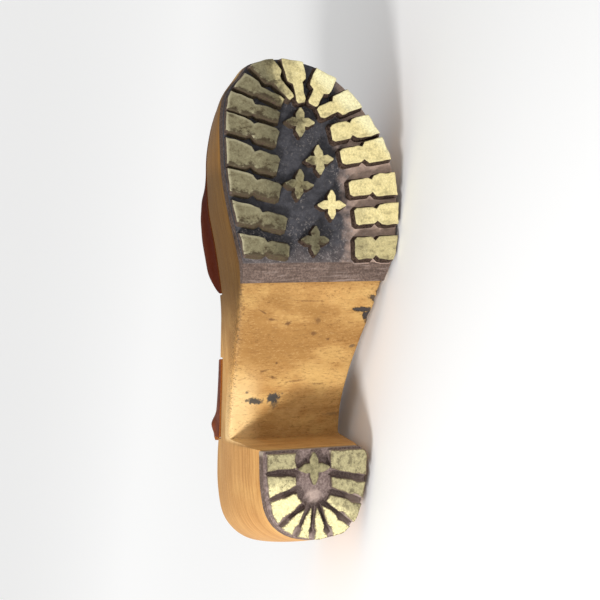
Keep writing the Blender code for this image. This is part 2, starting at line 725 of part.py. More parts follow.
def vamp_half(position, share, side):
    """Outer face of the toe's leather on one side, from the wood's ledge up to the ridge."""
    row = share * (len(VAMP) - 1)
    crest = Vector([read(VAMP, row, f"crest_{axis}") for axis in "xyz"])
    slant = read(VAMP, row, "slant")
    swell = read(VAMP, row, f"{side}_bulge")
    normal = plan_normal(position, side)
    lift = LEATHER_EDGE_LIFT + LEATHER * lean_in(position, side)
    points = [rim_point(position, side, -LEATHER_PROUD, lift)]
    base = rim_point(position, side, -LEATHER_PROUD, RABBET_HEIGHT)
    for step in range(VAMP_ARCH_STEPS):
        angle = 0.5 * math.pi * step / VAMP_ARCH_STEPS
        out = math.cos(angle) ** VAMP_SQUARENESS
        up = math.sin(angle) ** VAMP_SQUARENESS
        forward = 1.0 - (1.0 - up) ** VAMP_SLANT_POWER
        forward = slant * forward + (1.0 - slant) * (1.0 - out)
        bulge = swell * math.sin(math.pi * up ** VAMP_SWELL_POWER)
        point = Vector((base.x + (crest.x - base.x) * forward,
                        crest.y + (base.y - crest.y) * out,
                        base.z + (crest.z - base.z) * up))
        points.append(point + normal * bulge)
    return points, crest


def vamp_section(position, share):
    """Arch of the toe's leather from the medial rim over the ridge to the lateral rim."""
    medial, crest = vamp_half(position, share, "medial")
    lateral, _ = vamp_half(position, share, "lateral")
    return medial + [crest] + lateral[::-1]


def vamp(material):
    """Closed toe of one piece of leather, open underneath and at its throat."""
    positions = vamp_positions()
    start = positions[0]
    sections = []
    for position in positions:
        share = (position - start) / (SOLE_END - start)
        sections.append(vamp_section(position, share))
    middle = len(sections[-1]) // 2
    tip = sections[-1]
    for index in range(middle):
        joined = 0.5 * (tip[index] + tip[-1 - index])
        tip[index] = joined
        tip[-1 - index] = joined.copy()
    bm = bmesh.new()
    add_grid(bm, sections)
    bmesh.ops.remove_doubles(bm, verts=bm.verts, dist=0.002)
    obj = new_object("vamp", bm, material)
    thicken(obj, LEATHER, -1.0)
    return obj


def thicken(obj, thickness, offset):
    """Gives a sheet its thickness, inwards (-1) or outwards (1) of the modelled face."""
    modifier = obj.modifiers.new("thickness", "SOLIDIFY")
    modifier.thickness = thickness * MM
    modifier.offset = offset
    modifier.use_even_offset = True
    modifier.use_quality_normals = True


Frame = namedtuple("Frame", "centre across tangent normal width")


class InstepLine:
    """The strap's line over the instep, read by the run along it."""

    SUBSTEPS = 16

    def __init__(self, rows):
        self.rows = rows
        count = (len(rows) - 1) * self.SUBSTEPS
        self.places = [step / self.SUBSTEPS for step in range(count + 1)]
        centres = [self.centre(place) for place in self.places]
        self.runs = [0.0]
        for before, after in zip(centres, centres[1:]):
            self.runs.append(self.runs[-1] + (after - before).length)

    def centre(self, place):
        return Vector([self.free_read(place, axis) for axis in "xyz"])

    def free_read(self, place, column):
        """Smooth reading with free slopes, as the line has no sharp turns."""
        last = len(self.rows) - 1
        index = max(0, min(int(place), last - 1))
        values = [getattr(self.rows[max(0, min(last, index + step))], column)
                  for step in (-1, 0, 1, 2)]
        return hermite(values[1], values[2], 0.5 * (values[2] - values[0]),
                       0.5 * (values[3] - values[1]), place - index)

    def place_at(self, run):
        """Fractional row after a run along the line."""
        for index in range(1, len(self.runs)):
            if self.runs[index] >= run:
                step = self.runs[index] - self.runs[index - 1]
                share = (run - self.runs[index - 1]) / step
                return self.places[index - 1] + share / self.SUBSTEPS
        return self.places[-1]

    def frame(self, run):
        """Middle, directions and width of the strap after a run along the line."""
        place = self.place_at(run)
        nudge = 0.05
        last = len(self.rows) - 1
        before = self.centre(max(0.0, place - nudge))
        after = self.centre(min(float(last), place + nudge))
        tangent = (after - before).normalized()
        width = self.free_read(place, "width")
        across = Vector((width, 0.0, self.free_read(place, "drop")))
        squared = (SQUARE_UP_WIDTH - width) / (SQUARE_UP_WIDTH - STRAP_WIDTH)
        squared = min(1.0, max(0.0, squared))
        across = (across - tangent * (squared * across.dot(tangent))).normalized()
        return Frame(self.centre(place), across, tangent, across.cross(tangent).normalized(), width)

    def point(self, run, across, lift):
        """Point at a run along the line, a way across it and a height above it."""
        here = self.frame(run)
        return here.centre + here.across * across + here.normal * lift


def bar_run(line):
    """Run along the instep line to the buckle's bar."""
    return line.runs[CREST_ROW * line.SUBSTEPS] + BAR_FROM_CREST


def rim_rows(side, ends, inset):
    """Two rows of leather along the rabbet: its lower edge and the top of the wood."""
    rows = []
    for lift in (TAB_EDGE_LIFT, RABBET_HEIGHT):
        row = []
        for step in range(ACROSS_SPANS + 1):
            x = ends[0] + (ends[1] - ends[0]) * step / ACROSS_SPANS
            position = row_at(SOLE, "x_rim", x)
            row.append(rim_point(position, side, inset, lift))
        rows.append(row)
    return rows


def strap_lift(past_bar):
    """Height of the strap's inner face above the instep line near the buckle."""
    return read(STRAP_RISE, row_at(STRAP_RISE, "run", past_bar), "lift")


def strap_runs(line):
    """Runs at which the strap is cut: close together through the buckle."""
    bar = bar_run(line)
    end = bar + STRAP_TAIL
    runs = []
    run = 0.0
    while run < end - STRAP_ROUND_END:
        runs.append(run)
        run += BUCKLE_STEP if abs(run - bar) < BUCKLE_REACH else STRAP_STEP
    for step in range(STRAP_END_STEPS + 1):
        reach = math.sin(0.5 * math.pi * step / STRAP_END_STEPS)
        runs.append(end - STRAP_ROUND_END * (1.0 - reach))
    return runs


def strap(material, line):
    """Medial tab and strap of one piece: over the instep, through the buckle, to a round end."""
    bar = bar_run(line)
    end = bar + STRAP_TAIL
    rows = rim_rows("medial", MEDIAL_TAB, LEATHER - LEATHER_PROUD)
    for run in strap_runs(line):
        here = line.frame(run)
        half = 0.5 * here.width
        left = end - run
        if left < STRAP_ROUND_END:
            reach = 1.0 - left / STRAP_ROUND_END
            half *= max(STRAP_TIP_SHARE, math.sqrt(1.0 - reach * reach))
        lift = strap_lift(run - bar)
        rows.append([line.point(run, half * (2.0 * step / ACROSS_SPANS - 1.0), lift)
                     for step in range(ACROSS_SPANS + 1)])
    bm = bmesh.new()
    add_grid(bm, rows, flip=True)
    obj = new_object("instep_strap", bm, material)
    thicken(obj, STRAP, 1.0)
    slot = slot_box("strap_hole", line, PRONG_SLOT_RUN)
    cut(obj, slot, "DIFFERENCE")
    return [obj, slot]


def slot_box(name, line, reach):
    """Guide for the opening that the buckle's prong passes through."""
    here = line.frame(bar_run(line))
    bm = bmesh.new()
    corners = []
    for lift in (-0.5 * SLOT_DEPTH, SLOT_DEPTH):
        for run, across in ((reach[0], -1), (reach[1], -1), (reach[1], 1), (reach[0], 1)):
            point = (here.centre + here.tangent * run + here.across * (0.5 * PRONG_SLOT * across)
                     + here.normal * lift)
            corners.append(bm.verts.new(point))
    for face in ((0, 1, 2, 3), (4, 7, 6, 5), (0, 4, 5, 1), (1, 5, 6, 2), (2, 6, 7, 3), (3, 7, 4, 0)):
        bm.faces.new([corners[index] for index in face])
    bmesh.ops.recalc_face_normals(bm, faces=bm.faces)
    return new_object(name, bm, None)


def bar_frame(line):
    """Middle and directions of the buckle's bar, which the tab wraps round."""
    here = line.frame(bar_run(line))
    return here._replace(centre=here.centre + here.normal * (TAB + SEAT_GAP + WIRE))


def lateral_tab(material, line):
    """Outer tab: from the rim up to the buckle, folded over its bar and back on itself."""
    bar = bar_run(line)
    flush = LEATHER - LEATHER_PROUD - TAB
    rows = [row[::-1] for row in rim_rows("lateral", LATERAL_TAB, flush)]
    for tab in LATERAL_TAB_ROWS:
        across = Vector((tab.width, 0.0, tab.drop)) * 0.5
        middle = Vector((tab.x, tab.y, tab.z))
        rows.append([middle + across * (1.0 - 2.0 * step / ACROSS_SPANS)
                     for step in range(ACROSS_SPANS + 1)])
    half = 0.5 * STRAP_WIDTH
    shares = [1.0 - 2.0 * step / ACROSS_SPANS for step in range(ACROSS_SPANS + 1)]
    start = rows[-1][ACROSS_SPANS // 2]
    length = (start - line.frame(bar).centre).length
    steps = max(2, round(length / TAB_STEP))
    for step in range(1, steps + 1):
        run = bar + length * (1.0 - step / steps)
        if step < steps:
            rows.append([line.point(run, half * share, TAB) for share in shares])
    centre = bar_frame(line)
    radius = WIRE + SEAT_GAP
    for step in range(FOLD_STEPS + 1):
        angle = math.pi * step / FOLD_STEPS
        offset = (centre.normal * (-math.cos(angle)) - centre.tangent * math.sin(angle)) * radius
        rows.append([centre.centre + offset + centre.across * (half * share) for share in shares])
    for fold in FOLD_DOWN:
        rows.append([line.point(bar + fold.run, half * share, TAB + fold.lift) for share in shares])
    bm = bmesh.new()
    add_grid(bm, rows, flip=True)
    obj = new_object("lateral_tab", bm, material)
    thicken(obj, TAB, -1.0)
    slot = slot_box("fold_slot", line, FOLD_SLOT_RUN)
    cut(obj, slot, "DIFFERENCE")
    return [obj, slot]


def tube_ring(centre, first, second, radius, sides):
    """Circle of points round a centre in the plane of two directions."""
    angles = [2.0 * math.pi * side / sides for side in range(sides)]
    return [centre + first * (radius * math.cos(a)) + second * (radius * math.sin(a)) for a in angles]


def rounded_loop(half_length, half_width, corner, corner_steps):
    """Rounded rectangle as pairs of (along, across) with the outward direction of each."""
    pairs = []
    for quarter, (along, across) in enumerate(((1, 1), (-1, 1), (-1, -1), (1, -1))):
        for step in range(corner_steps + 1):
            angle = 0.5 * math.pi * (quarter + step / corner_steps)
            out = (math.cos(angle), math.sin(angle))
            pairs.append(((along * (half_length - corner) + corner * out[0],
                           across * (half_width - corner) + corner * out[1]), out))
    return pairs


def buckle_frame(material, line):
    """Rectangular wire frame, with the bar at the tab and the far side over the strap."""
    bar = bar_frame(line)
    far_run = bar_run(line) - FRAME_LENGTH
    far = line.point(far_run, 0.0, STRAP + SEAT_GAP + WIRE)
    along = far - bar.centre
    middle = bar.centre + along * 0.5
    direction = along.normalized()
    normal = bar.across.cross(-direction).normalized()
    half_width = 0.5 * FRAME_INNER_WIDTH + WIRE
    rings = []
    for (run, across), out in rounded_loop(0.5 * along.length, half_width, FRAME_CORNER,
                                           FRAME_CORNER_STEPS):
        centre = middle + direction * run + bar.across * across
        outward = direction * out[0] + bar.across * out[1]
        rings.append(tube_ring(centre, outward, normal, WIRE, WIRE_SIDES))
    bm = bmesh.new()
    add_grid(bm, rings + [rings[0]], closed=True)
    close_mesh(bm)
    return new_object("buckle_frame", bm, material)


def buckle_prong(material, line):
    """Prong with an eye round the bar, lying through the strap onto the frame's far side."""
    bar = bar_frame(line)
    far_run = bar_run(line) - FRAME_LENGTH
    far = line.point(far_run, 0.0, STRAP + SEAT_GAP + WIRE)
    along = (far - bar.centre).normalized()
    up = bar.across.cross(-along).normalized()
    radius = WIRE + SEAT_GAP + PRONG
    centres = []
    for step in range(PRONG_EYE_STEPS + 1):
        angle = math.radians(PRONG_EYE_FROM_DEG - PRONG_EYE_SWEEP_DEG * step / PRONG_EYE_STEPS)
        centres.append(bar.centre + along * (radius * math.cos(angle))
                       + up * (radius * math.sin(angle)))
    length = (far - bar.centre).length
    for share in PRONG_ALONG:
        centres.append(bar.centre + along * (length * share) + up * radius)
    centres.append(bar.centre + along * (length + WIRE + PRONG) + up * (radius - PRONG_TIP_DROP))
    rings = []
    for index, centre in enumerate(centres):
        before = centres[max(0, index - 1)]
        after = centres[min(len(centres) - 1, index + 1)]
        outward = bar.across.cross(after - before).normalized()
        rings.append(tube_ring(centre, outward, bar.across, PRONG, PRONG_SIDES))
    bm = bmesh.new()
    grid = add_grid(bm, rings, closed=True)
    bm.faces.new(grid[0])
    bm.faces.new(grid[-1][::-1])
    close_mesh(bm)
    return new_object("buckle_prong", bm, material)


def keeper_loop(material, line):
    """Leather loop that holds the strap's end down on the tab."""
    run = bar_run(line) + KEEPER_AT
    here = line.frame(run)
    tail_top = strap_lift(KEEPER_AT) + STRAP
    low = -SEAT_GAP
    high = tail_top + 2.0 * SEAT_GAP
    half_height = 0.5 * (high - low)
    half_width = 0.5 * STRAP_WIDTH + 2.0 * SEAT_GAP
    middle = here.centre + here.normal * (low + half_height)
    rings = []
    for (rise, across), out in rounded_loop(half_height + KEEPER, half_width + KEEPER,
                                            KEEPER_CORNER + KEEPER, KEEPER_CORNER_STEPS):
        outer = middle + here.normal * rise + here.across * across
        inward = (here.normal * out[0] + here.across * out[1]) * -KEEPER
        edge = here.tangent * (0.5 * KEEPER_WIDTH)
        rings.append([outer - edge, outer + edge, outer + inward + edge, outer + inward - edge])
    bm = bmesh.new()
    add_grid(bm, rings + [rings[0]], closed=True)
    close_mesh(bm)
    return new_object("strap_keeper", bm, material)


def material(name, colour, roughness, metallic=0.0):
    """Plain surface with the colour of its real material."""
    made = bpy.data.materials.new(name)
    made.use_nodes = True
    shader = made.node_tree.nodes["Principled BSDF"]
    shader.inputs["Base Color"].default_value = (*colour, 1.0)
    shader.inputs["Roughness"].default_value = roughness
    shader.inputs["Metallic"].default_value = metallic
    return made


def lay_down(pieces):
    """Turns the shoe over on its outer side, with its box standing on the origin."""
    root = bpy.data.objects.new("lying_shoe", None)
    bpy.context.collection.objects.link(root)
    for piece in pieces:
        piece.parent = root
    over = Matrix(((1.0, 0.0, 0.0), (0.0, 0.0, 1.0), (0.0, -1.0, 0.0))).to_4x4()
    yaw = Matrix.Rotation(math.radians(LYING_YAW_DEG), 4, "Z")
    roll = Matrix.Rotation(math.radians(LYING_ROLL_DEG), 4, "X")
    turn = over @ roll @ yaw
    root.matrix_world = turn
    bpy.context.view_layer.update()
    graph = bpy.context.evaluated_depsgraph_get()
    corners = []
    for piece in pieces:
        if not piece.hide_render:
            solid = piece.evaluated_get(graph)
            corners += [solid.matrix_world @ vertex.co for vertex in solid.data.vertices]
    low = Vector([min(corner[axis] for corner in corners) for axis in range(3)])
    high = Vector([max(corner[axis] for corner in corners) for axis in range(3)])
    middle = 0.5 * (low + high)
    root.matrix_world = Matrix.Translation((-middle.x, -middle.y, -low.z)) @ turn


def main():
    for obj in list(bpy.data.objects):
        bpy.data.objects.remove(obj, do_unlink=True)
    wood = material("alder_wood", (0.62, 0.38, 0.17), 0.55)
    rubber = material("lug_rubber", (0.16, 0.14, 0.13), 0.85)
    heel = material("heel_lug_rubber", (0.20, 0.17, 0.16), 0.85)
    toe_leather = material("toe_leather", (0.33, 0.10, 0.03), 0.5)
    strap_leather = material("strap_leather", (0.40, 0.13, 0.035), 0.5)
    tab_leather = material("tab_leather", (0.38, 0.12, 0.035), 0.5)
    keeper_leather = material("keeper_leather", (0.36, 0.115, 0.035), 0.5)
    brass = material("antique_brass", (0.55, 0.42, 0.20), 0.35, 1.0)
    prong = material("prong_brass", (0.55, 0.42, 0.20), 0.32, 1.0)
    line = InstepLine(INSTEP)
    pieces = [wooden_sole(wood)]
    pieces += forefoot_rubber(rubber)
    pieces += heel_rubber(heel)
    pieces.append(vamp(toe_leather))
    pieces += strap(strap_leather, line)
    pieces += lateral_tab(tab_leather, line)
    pieces.append(buckle_frame(brass, line))
    pieces.append(buckle_prong(prong, line))
    pieces.append(keeper_loop(keeper_leather, line))
    lay_down(pieces)


main()
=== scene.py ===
"""Dresses the mary jane clog: smooth wood, worn rubber lugs, cognac leather and brass, on a pale floor.

Shapes are worked out in millimetres in the standing shoe's own frame (x heel to toe, y to the outer
side, z up from the floor under the lugs), and each point keeps that place in an attribute for the
materials.
"""
import math
from collections import namedtuple
from types import SimpleNamespace

import bmesh
import bpy
from mathutils import Matrix, Vector, noise
from mathutils.bvhtree import BVHTree
from mathutils.kdtree import KDTree


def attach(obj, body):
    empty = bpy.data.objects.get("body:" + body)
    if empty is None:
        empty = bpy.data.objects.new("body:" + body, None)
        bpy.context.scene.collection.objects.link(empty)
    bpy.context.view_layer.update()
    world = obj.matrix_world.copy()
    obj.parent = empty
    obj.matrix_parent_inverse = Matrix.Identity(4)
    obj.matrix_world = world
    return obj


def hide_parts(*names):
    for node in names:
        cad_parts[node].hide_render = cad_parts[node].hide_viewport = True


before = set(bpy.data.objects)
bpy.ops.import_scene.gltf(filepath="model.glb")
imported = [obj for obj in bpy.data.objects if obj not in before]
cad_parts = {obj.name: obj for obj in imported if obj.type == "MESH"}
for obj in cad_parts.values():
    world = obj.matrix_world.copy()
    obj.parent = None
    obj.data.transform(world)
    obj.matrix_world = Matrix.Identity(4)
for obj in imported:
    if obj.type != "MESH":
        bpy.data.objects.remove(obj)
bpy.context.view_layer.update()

MM = 0.001

# How the shoe lies: the same turns as the solids, and where its own origin comes to lie
LYING_YAW_DEG = -8.62
LYING_ROLL_DEG = 2.91
SHOE_AT = (-124.801, -64.390, 24.663)

# The photograph's camera in the shoe's own frame
CAMERA_AT = (124.6, -211.7, -596.5)
CAMERA_AIM = (131.6, 1.9, 20.0)
CAMERA_LEAN_DEG = 1.6
FIELD_OF_VIEW_DEG = 26.4

# Light: where the main one comes from in the shoe's own frame, its size and distance in metres, strengths
KEY_FROM = (-0.62, -0.51, -0.60)
KEY_DISTANCE = 1.1
KEY_SIZE = 0.26
KEY_POWER = 12.0
SKY_STRENGTH = 0.62

# Floor: half its side in metres, its colour, and where and how strongly its distant part glows with painted
# light
FLOOR_HALF = 12.0
FLOOR_COLOUR = (0.92, 0.92, 0.915)
WHITE = (1.0, 1.0, 1.0)
FAR_FLOOR = (-0.1, 0.7)
FAR_GLOW = 0.26

# Meshes: tolerances in millimetres, and the angles by which faces are joined, creased or smoothed
WELD = 0.002
CUT_TOLERANCE = 0.0005
JOINED_FACE_DEG = 60.0
JOINED_SHAPE_DEG = 120.0
SMOOTH_LEVELS = 2
SMOOTH_DEG = 40.0
FULL_CREASE = 1.0
WOOD_SHARP_DEG = 52.0
SHEET_SHARP_DEG = 52.0
KEEPER_SHARP_DEG = 60.0
BRASS_SHARP_DEG = 80.0

# Material slots of a leather sheet, and points inside the shoe that its flesh side faces
GRAIN_SIDE = 0
FLESH_SIDE = 1
CUT_EDGE = 2
INSIDE_TOE = (190.0, 0.0, 45.0)
UNDER_STRAP = (68.0, 0.0, 92.0)

Rise = namedtuple("Rise", "x lift")

# How the lugs' worn faces curve up towards the toe
TOE_SPRING = [Rise(0.0, 0.0), Rise(200.0, 0.0), Rise(217.0, 0.6), Rise(231.0, 2.0),
              Rise(242.4, 3.5), Rise(249.6, 4.6), Rise(252.6, 5.0)]

# Lugs: depth, flatness and edges of their faces, and the shares of the depth where rims end and the
# outer band starts
LUG_DEPTH = 4.5
LUG_FLAT_DEG = 0.5
LUG_SHORTEST = 0.3
LUG_RIM_DEG = 40.0
LUG_RIM_DEPTH = 0.5
LUG_EDGE_ROUND = 0.45
LUG_EDGE_STEPS = 2
LUG_EDGE_PROFILE = 0.5
LUG_SMOOTH_DEG = 35.0
BAND_DEPTH = 1.3

# Wear of the lugs: the grid they are cut to, the seed, size and reach of their unevenness, what counts
# as a wall (by the upright share of its normal and by its area), and how far marks reach from a wall or
# from the outer band
RUBBER_GRID = 1.2
WORN_SEED = 1
WORN_SCALE = 0.24
WORN_BY = 0.55
WALL_STEEP = 0.6
LEAST_WALL = 0.02
EDGE_REACH = 1.3
HEELWARD_REACH = 3.2
OUTER_REACH = 1.0

Crease = namedtuple("Crease", "x lean bow depth half_width middle reach")

# Creases over the toes: where they cross the ridge, how they lean and bow towards the sides, how deep
# and wide they are, and where across the foot they are deepest
CREASES = [
    Crease(182.0, -5.0, -7.0, 1.30, 3.2, 0.0, 0.75),
    Crease(193.0, -6.0, -8.0, 1.05, 2.9, -0.2, 0.6),
    Crease(203.0, -5.0, -9.0, 0.60, 2.7, 0.25, 0.5),
]
CREASE_HALF_SPAN = 40.0
CREASE_AXIS_Z = 30.0
CREASE_FROM_Z = 41.0
CREASE_RISE = 12.0
RIDGE_OFF = 1.9
RIDGE_SHARE = 0.45
UNEVEN = 0.35
UNEVEN_SCALE = 0.055

Hole = namedtuple("Hole", "at normal")

# Holes down the middle of the strap's free end
STRAP_HOLES = [
    Hole((64.7, 30.7, 106.9), (0.08, 0.955, 0.28)),
    Hole((62.0, 31.5, 90.0), (0.045, 0.988, 0.145)),
    Hole((61.0, 33.0, 81.6), (0.03, 0.996, 0.085)),
]
HOLE_RADIUS = 1.2
HOLE_LENGTH = 5.2
HOLE_SIDES = 24

# Where along and up the strap's inner foot is bent outwards, how wide and how far
BENT_AT = (66.0, 81.0)
BENT_HALF = (4.4, 6.0)
BENT_BY = 2.4

# The underside of the waist rises towards the heel by this slope, from this height. Wood is knocked off
# it by this much, and no higher up its sides than this
WAIST_SLOPE = 0.4286
WAIST_START = 68.0
KNOCK_HEIGHT = 8.0
KNOCK_DEPTH = 0.9

Mark = namedtuple("Mark", "x y half_x half_y turn_deg soft strength")

# A mark on the underside reaches up through the whole piece
MARK_HEIGHT = 1e6

# Stains, knocks and large pores on the underside of the waist
SMUDGES = [
    Mark(80.2, -19.6, 2.3, 6.2, 4.0, 0.5, 0.92),
    Mark(81.4, -9.2, 3.2, 4.4, -8.0, 0.5, 0.95),
    Mark(78.6, -8.4, 3.6, 3.0, 0.0, 0.7, 0.6),
    Mark(85.0, -24.0, 0.9, 1.0, 0.0, 0.6, 0.7),
    Mark(83.6, -4.6, 1.0, 0.9, 0.0, 0.6, 0.6),
    Mark(71.4, 25.0, 1.4, 7.0, 0.0, 0.9, 0.4),
]
CHIPS = [
    Mark(126.0, 34.0, 1.5, 7.0, 3.0, 0.35, 1.0),
    Mark(122.8, 37.0, 3.0, 3.2, 20.0, 0.35, 1.0),
    Mark(131.3, 40.6, 1.6, 4.6, 24.0, 0.45, 0.9),
    Mark(135.6, 43.0, 3.2, 2.0, 20.0, 0.5, 0.85),
    Mark(139.0, 44.4, 1.8, 2.4, 10.0, 0.6, 0.7),
    Mark(107.3, 30.6, 1.0, 2.4, 0.0, 0.6, 0.55),
]
PORES = [
    Mark(122.0, -15.0, 1.0, 4.2, 8.0, 0.9, 0.85),
    Mark(120.0, -6.1, 1.3, 2.6, -20.0, 0.8, 0.90),
    Mark(114.3, 8.5, 1.4, 3.0, 0.0, 0.9, 0.75),
    Mark(111.3, 16.4, 1.2, 1.6, 10.0, 0.8, 0.85),
    Mark(121.0, 10.0, 2.6, 2.2, 30.0, 0.9, 0.60),
    Mark(95.8, -16.3, 0.9, 3.0, -12.0, 0.9, 0.85),
    Mark(92.5, -11.2, 1.2, 2.6, 24.0, 0.9, 0.85),
    Mark(99.7, -9.8, 0.7, 0.8, 0.0, 0.6, 0.90),
    Mark(126.0, -20.0, 0.6, 3.4, 30.0, 0.9, 0.75),
    Mark(90.0, 2.0, 0.8, 6.0, -4.0, 0.95, 0.65),
    Mark(88.0, 14.0, 0.9, 5.0, 3.0, 0.95, 0.65),
    Mark(131.0, 4.0, 0.6, 12.0, 2.0, 0.95, 0.55),
]

# Dust that lies between the forefoot's lugs, and in and on the middle of the heel piece
DUST = [
    Mark(194.0, 19.0, 10.0, 7.0, 10.0, 0.9, 0.75),
    Mark(182.0, -1.0, 7.0, 6.0, 0.0, 0.9, 0.3),
    Mark(168.0, -4.0, 7.0, 8.0, 0.0, 0.9, 0.35),
    Mark(156.0, 18.0, 7.0, 10.0, 0.0, 0.9, 0.45),
]
HEEL_DUST = [
    Mark(34.0, 1.0, 4.4, 5.4, 0.0, 0.7, 0.85),
    Mark(52.5, -8.0, 3.0, 2.6, 0.0, 0.8, 0.5),
]

# Lugs that are worn less pale than their neighbours, and the heel's cross
DULL_LUGS = [
    Mark(160.9, 4.2, 10.0, 10.0, 0.0, 0.3, 0.95),
    Mark(188.6, -3.6, 10.0, 10.0, 0.0, 0.3, 0.5),
    Mark(200.9, 7.3, 9.0, 9.0, 0.0, 0.3, 0.45),
    Mark(157.0, 36.0, 12.0, 24.0, 0.0, 0.3, 0.42),
    Mark(157.5, 27.0, 9.0, 11.0, 0.0, 0.6, 0.54),
    Mark(174.0, 27.0, 8.0, 9.0, 0.0, 0.8, 0.38),
    Mark(219.8, -1.9, 9.0, 9.0, 0.0, 0.3, 0.25),
]
HEEL_CROSS = Mark(48.2, 0.3, 9.5, 9.5, 0.0, 0.2, 0.9)

# Wood: its colours, its grain (waves to the millimetre along x, y and z), and where along or across the
# shoe a tone starts and is full
WOOD = SimpleNamespace(
    deep=(0.40, 0.205, 0.062), light=(0.60, 0.345, 0.118), line=(0.33, 0.16, 0.047),
    pale_blotch=(0.68, 0.43, 0.17), dark_blotch=(0.36, 0.175, 0.052),
    sunny=(0.66, 0.43, 0.155), dull=(0.42, 0.225, 0.075),
    streak_light=(0.64, 0.34, 0.115), streak_dark=(0.40, 0.180, 0.052),
    browned=(0.25, 0.118, 0.028), sunlit=(0.92, 0.67, 0.33),
    pore=(0.150, 0.068, 0.022), thread=(0.19, 0.088, 0.028), fleck=(0.66, 0.43, 0.18),
    large_pore=(0.13, 0.058, 0.022), smudge=(0.040, 0.043, 0.045), chip=(0.055, 0.045, 0.042),
    # On the inner wall: a painted highlight beside the arch, and grime deepened by painted shade further
    # forward.
    wear_and_highlight=(0.78, 0.38, 0.095), shaded_grime_light=(0.225, 0.110, 0.026), shaded_grime_dark=(0.135, 0.062, 0.015),
    dirt=(0.105, 0.060, 0.025),
)
WOOD_GRAIN = SimpleNamespace(
    bands=(0.010, 0.014, 0.36), lines=(0.05, 0.035, 2.4), sunny=(0.05, 0.03, 0.05),
    streaks=(0.035, 0.035, 0.9), pores=(1.15, 0.48, 1.15), threads=(1.5, 0.20, 1.5),
)
WOOD_AT = SimpleNamespace(
    heel_block=(62.0, 56.0), waist_rear=(57.0, 62.0), underside=(12.0, 8.0),
    browned_rear=(86.0, 102.0), browned_front=(141.0, 126.0),
    sunlit_side=(-13.0, -25.0), sunlit_front=(102.0, 82.0), porous_front=(126.0, 144.0),
    inner_wall=(-30.5, -33.0), lit_wall_rear=(60.0, 72.0), lit_wall_front=(116.0, 94.0),
    grime_shade_rear=(62.0, 80.0), grime_shade_front=(104.0, 142.0),
    shade_rear=(112.0, 142.0), shade_front=(206.0, 188.0),
    dirt_width=(3.4, 0.4), dirt_rear=(66.0, 76.0), dirt_height=(9.0, 3.0),
)
BROWNED_SLANT = 0.35
INNER_ARRIS = 32.0

# Rubber of both treads: its colours and the grain of its brushed band
RUBBER = SimpleNamespace(
    wall_dark=(0.016, 0.009, 0.007), wall_light=(0.085, 0.055, 0.040),
    band_dark=(0.105, 0.073, 0.060), band_light=(0.205, 0.145, 0.118),
    brushed_light=(0.32, 0.25, 0.215), brushed_dark=(0.060, 0.040, 0.032), stain=(0.090, 0.062, 0.050),
)
BRUSHED_GRAIN = (0.9, 0.10, 0.9)

# Shares of the lugs' depth where a face ends, and where the outer band starts
FACE_END = (0.05, 0.16)
BAND_START = (1.03, 1.10)
FLOOR_SOFT = 0.1

# Half sole: colours of faces, walls and floor, and where along or across it a tone starts and is full
FORE = SimpleNamespace(
    khaki=(0.190, 0.168, 0.098), pale=(0.74, 0.63, 0.31), brown=(0.095, 0.074, 0.040),
    khaki_light=(0.30, 0.275, 0.165), pale_light=(0.84, 0.74, 0.42), bleached=(0.95, 0.90, 0.56),
    khaki_highlight=(0.44, 0.40, 0.26), pale_highlight=(0.86, 0.78, 0.46), heelward_dark=(0.050, 0.036, 0.021),
    olive=(0.110, 0.088, 0.048), slate=(0.056, 0.055, 0.062), mauve=(0.43, 0.31, 0.25),
    dust=(0.36, 0.32, 0.30),
)
FORE_AT = SimpleNamespace(
    shaded_inner_band=(-31.0, -35.0), rubbed_toe=(220.0, 234.0), pale=(-14.0, 12.0), bleached=(245.0, 254.0),
    inner_lugs=(-26.0, -12.0), lit_rims=(-18.0, -32.0), olive_walls=(-2.0, -14.0),
    mauve_side=(17.0, 28.0), mauve_rear=(162.0, 150.0), dusty_rear=(188.0, 150.0),
)
FORE_MOTTLE = (0.34, 0.22, 0.3)
FORE_WANDER = 22.0
TOE_SHIFT = 9.5
FORE_FLOOR = 0.88

# Heel piece: the same, and the middle from which its grooves run out
HEEL = SimpleNamespace(
    khaki=(0.38, 0.335, 0.185), cream=(0.80, 0.71, 0.38), grit=(0.115, 0.095, 0.055),
    khaki_light=(0.50, 0.45, 0.25), cream_light=(0.86, 0.79, 0.50), rim=(0.165, 0.130, 0.075),
    wall=(0.175, 0.130, 0.115), hollow_dark=(0.165, 0.118, 0.105), hollow_light=(0.32, 0.245, 0.22),
    mouth=(0.40, 0.31, 0.27), lit_front_wall=(0.38, 0.32, 0.22), lit_front_band=(0.38, 0.31, 0.24),
    dust=(0.52, 0.40, 0.34), cross=(0.235, 0.205, 0.110),
)
HEEL_AT = SimpleNamespace(cream=(48.0, 33.0), mouths=(15.5, 18.5), mouths_front=(44.0, 38.0),
                          lit_front=(54.0, 56.0))
HEEL_MIDDLE = (33.0, 1.0)
HEEL_WANDER = 16.0
HEEL_LEAN = 0.95
HEEL_FLOOR = 0.42

# Leather and brass: light and dark tones, and where painted shade darkens the toe's leather above the inner
# rim
LEATHER = SimpleNamespace(
    light=(0.205, 0.042, 0.0075), dark=(0.095, 0.016, 0.0035), painted_rim_shade=(0.048, 0.0055, 0.0008),
    edge_light=(0.36, 0.125, 0.026), edge_dark=(0.20, 0.058, 0.012),
    dyed_light=(0.13, 0.032, 0.006), dyed_dark=(0.06, 0.012, 0.002),
    flesh_light=(0.50, 0.30, 0.15), flesh_dark=(0.36, 0.19, 0.085),
)
LEATHER_AT = SimpleNamespace(rim_shade_height=(60.0, 40.0), rim_shade_side=(-24.0, -34.0),
                             rim_shade_rear=(118.0, 132.0))
EDGE_GRAIN = 1.6
FLESH_GRAIN = 0.9
BRASS = SimpleNamespace(dark=(0.26, 0.175, 0.075), light=(0.60, 0.45, 0.21), scratches=(0.8, 6.0, 6.0))

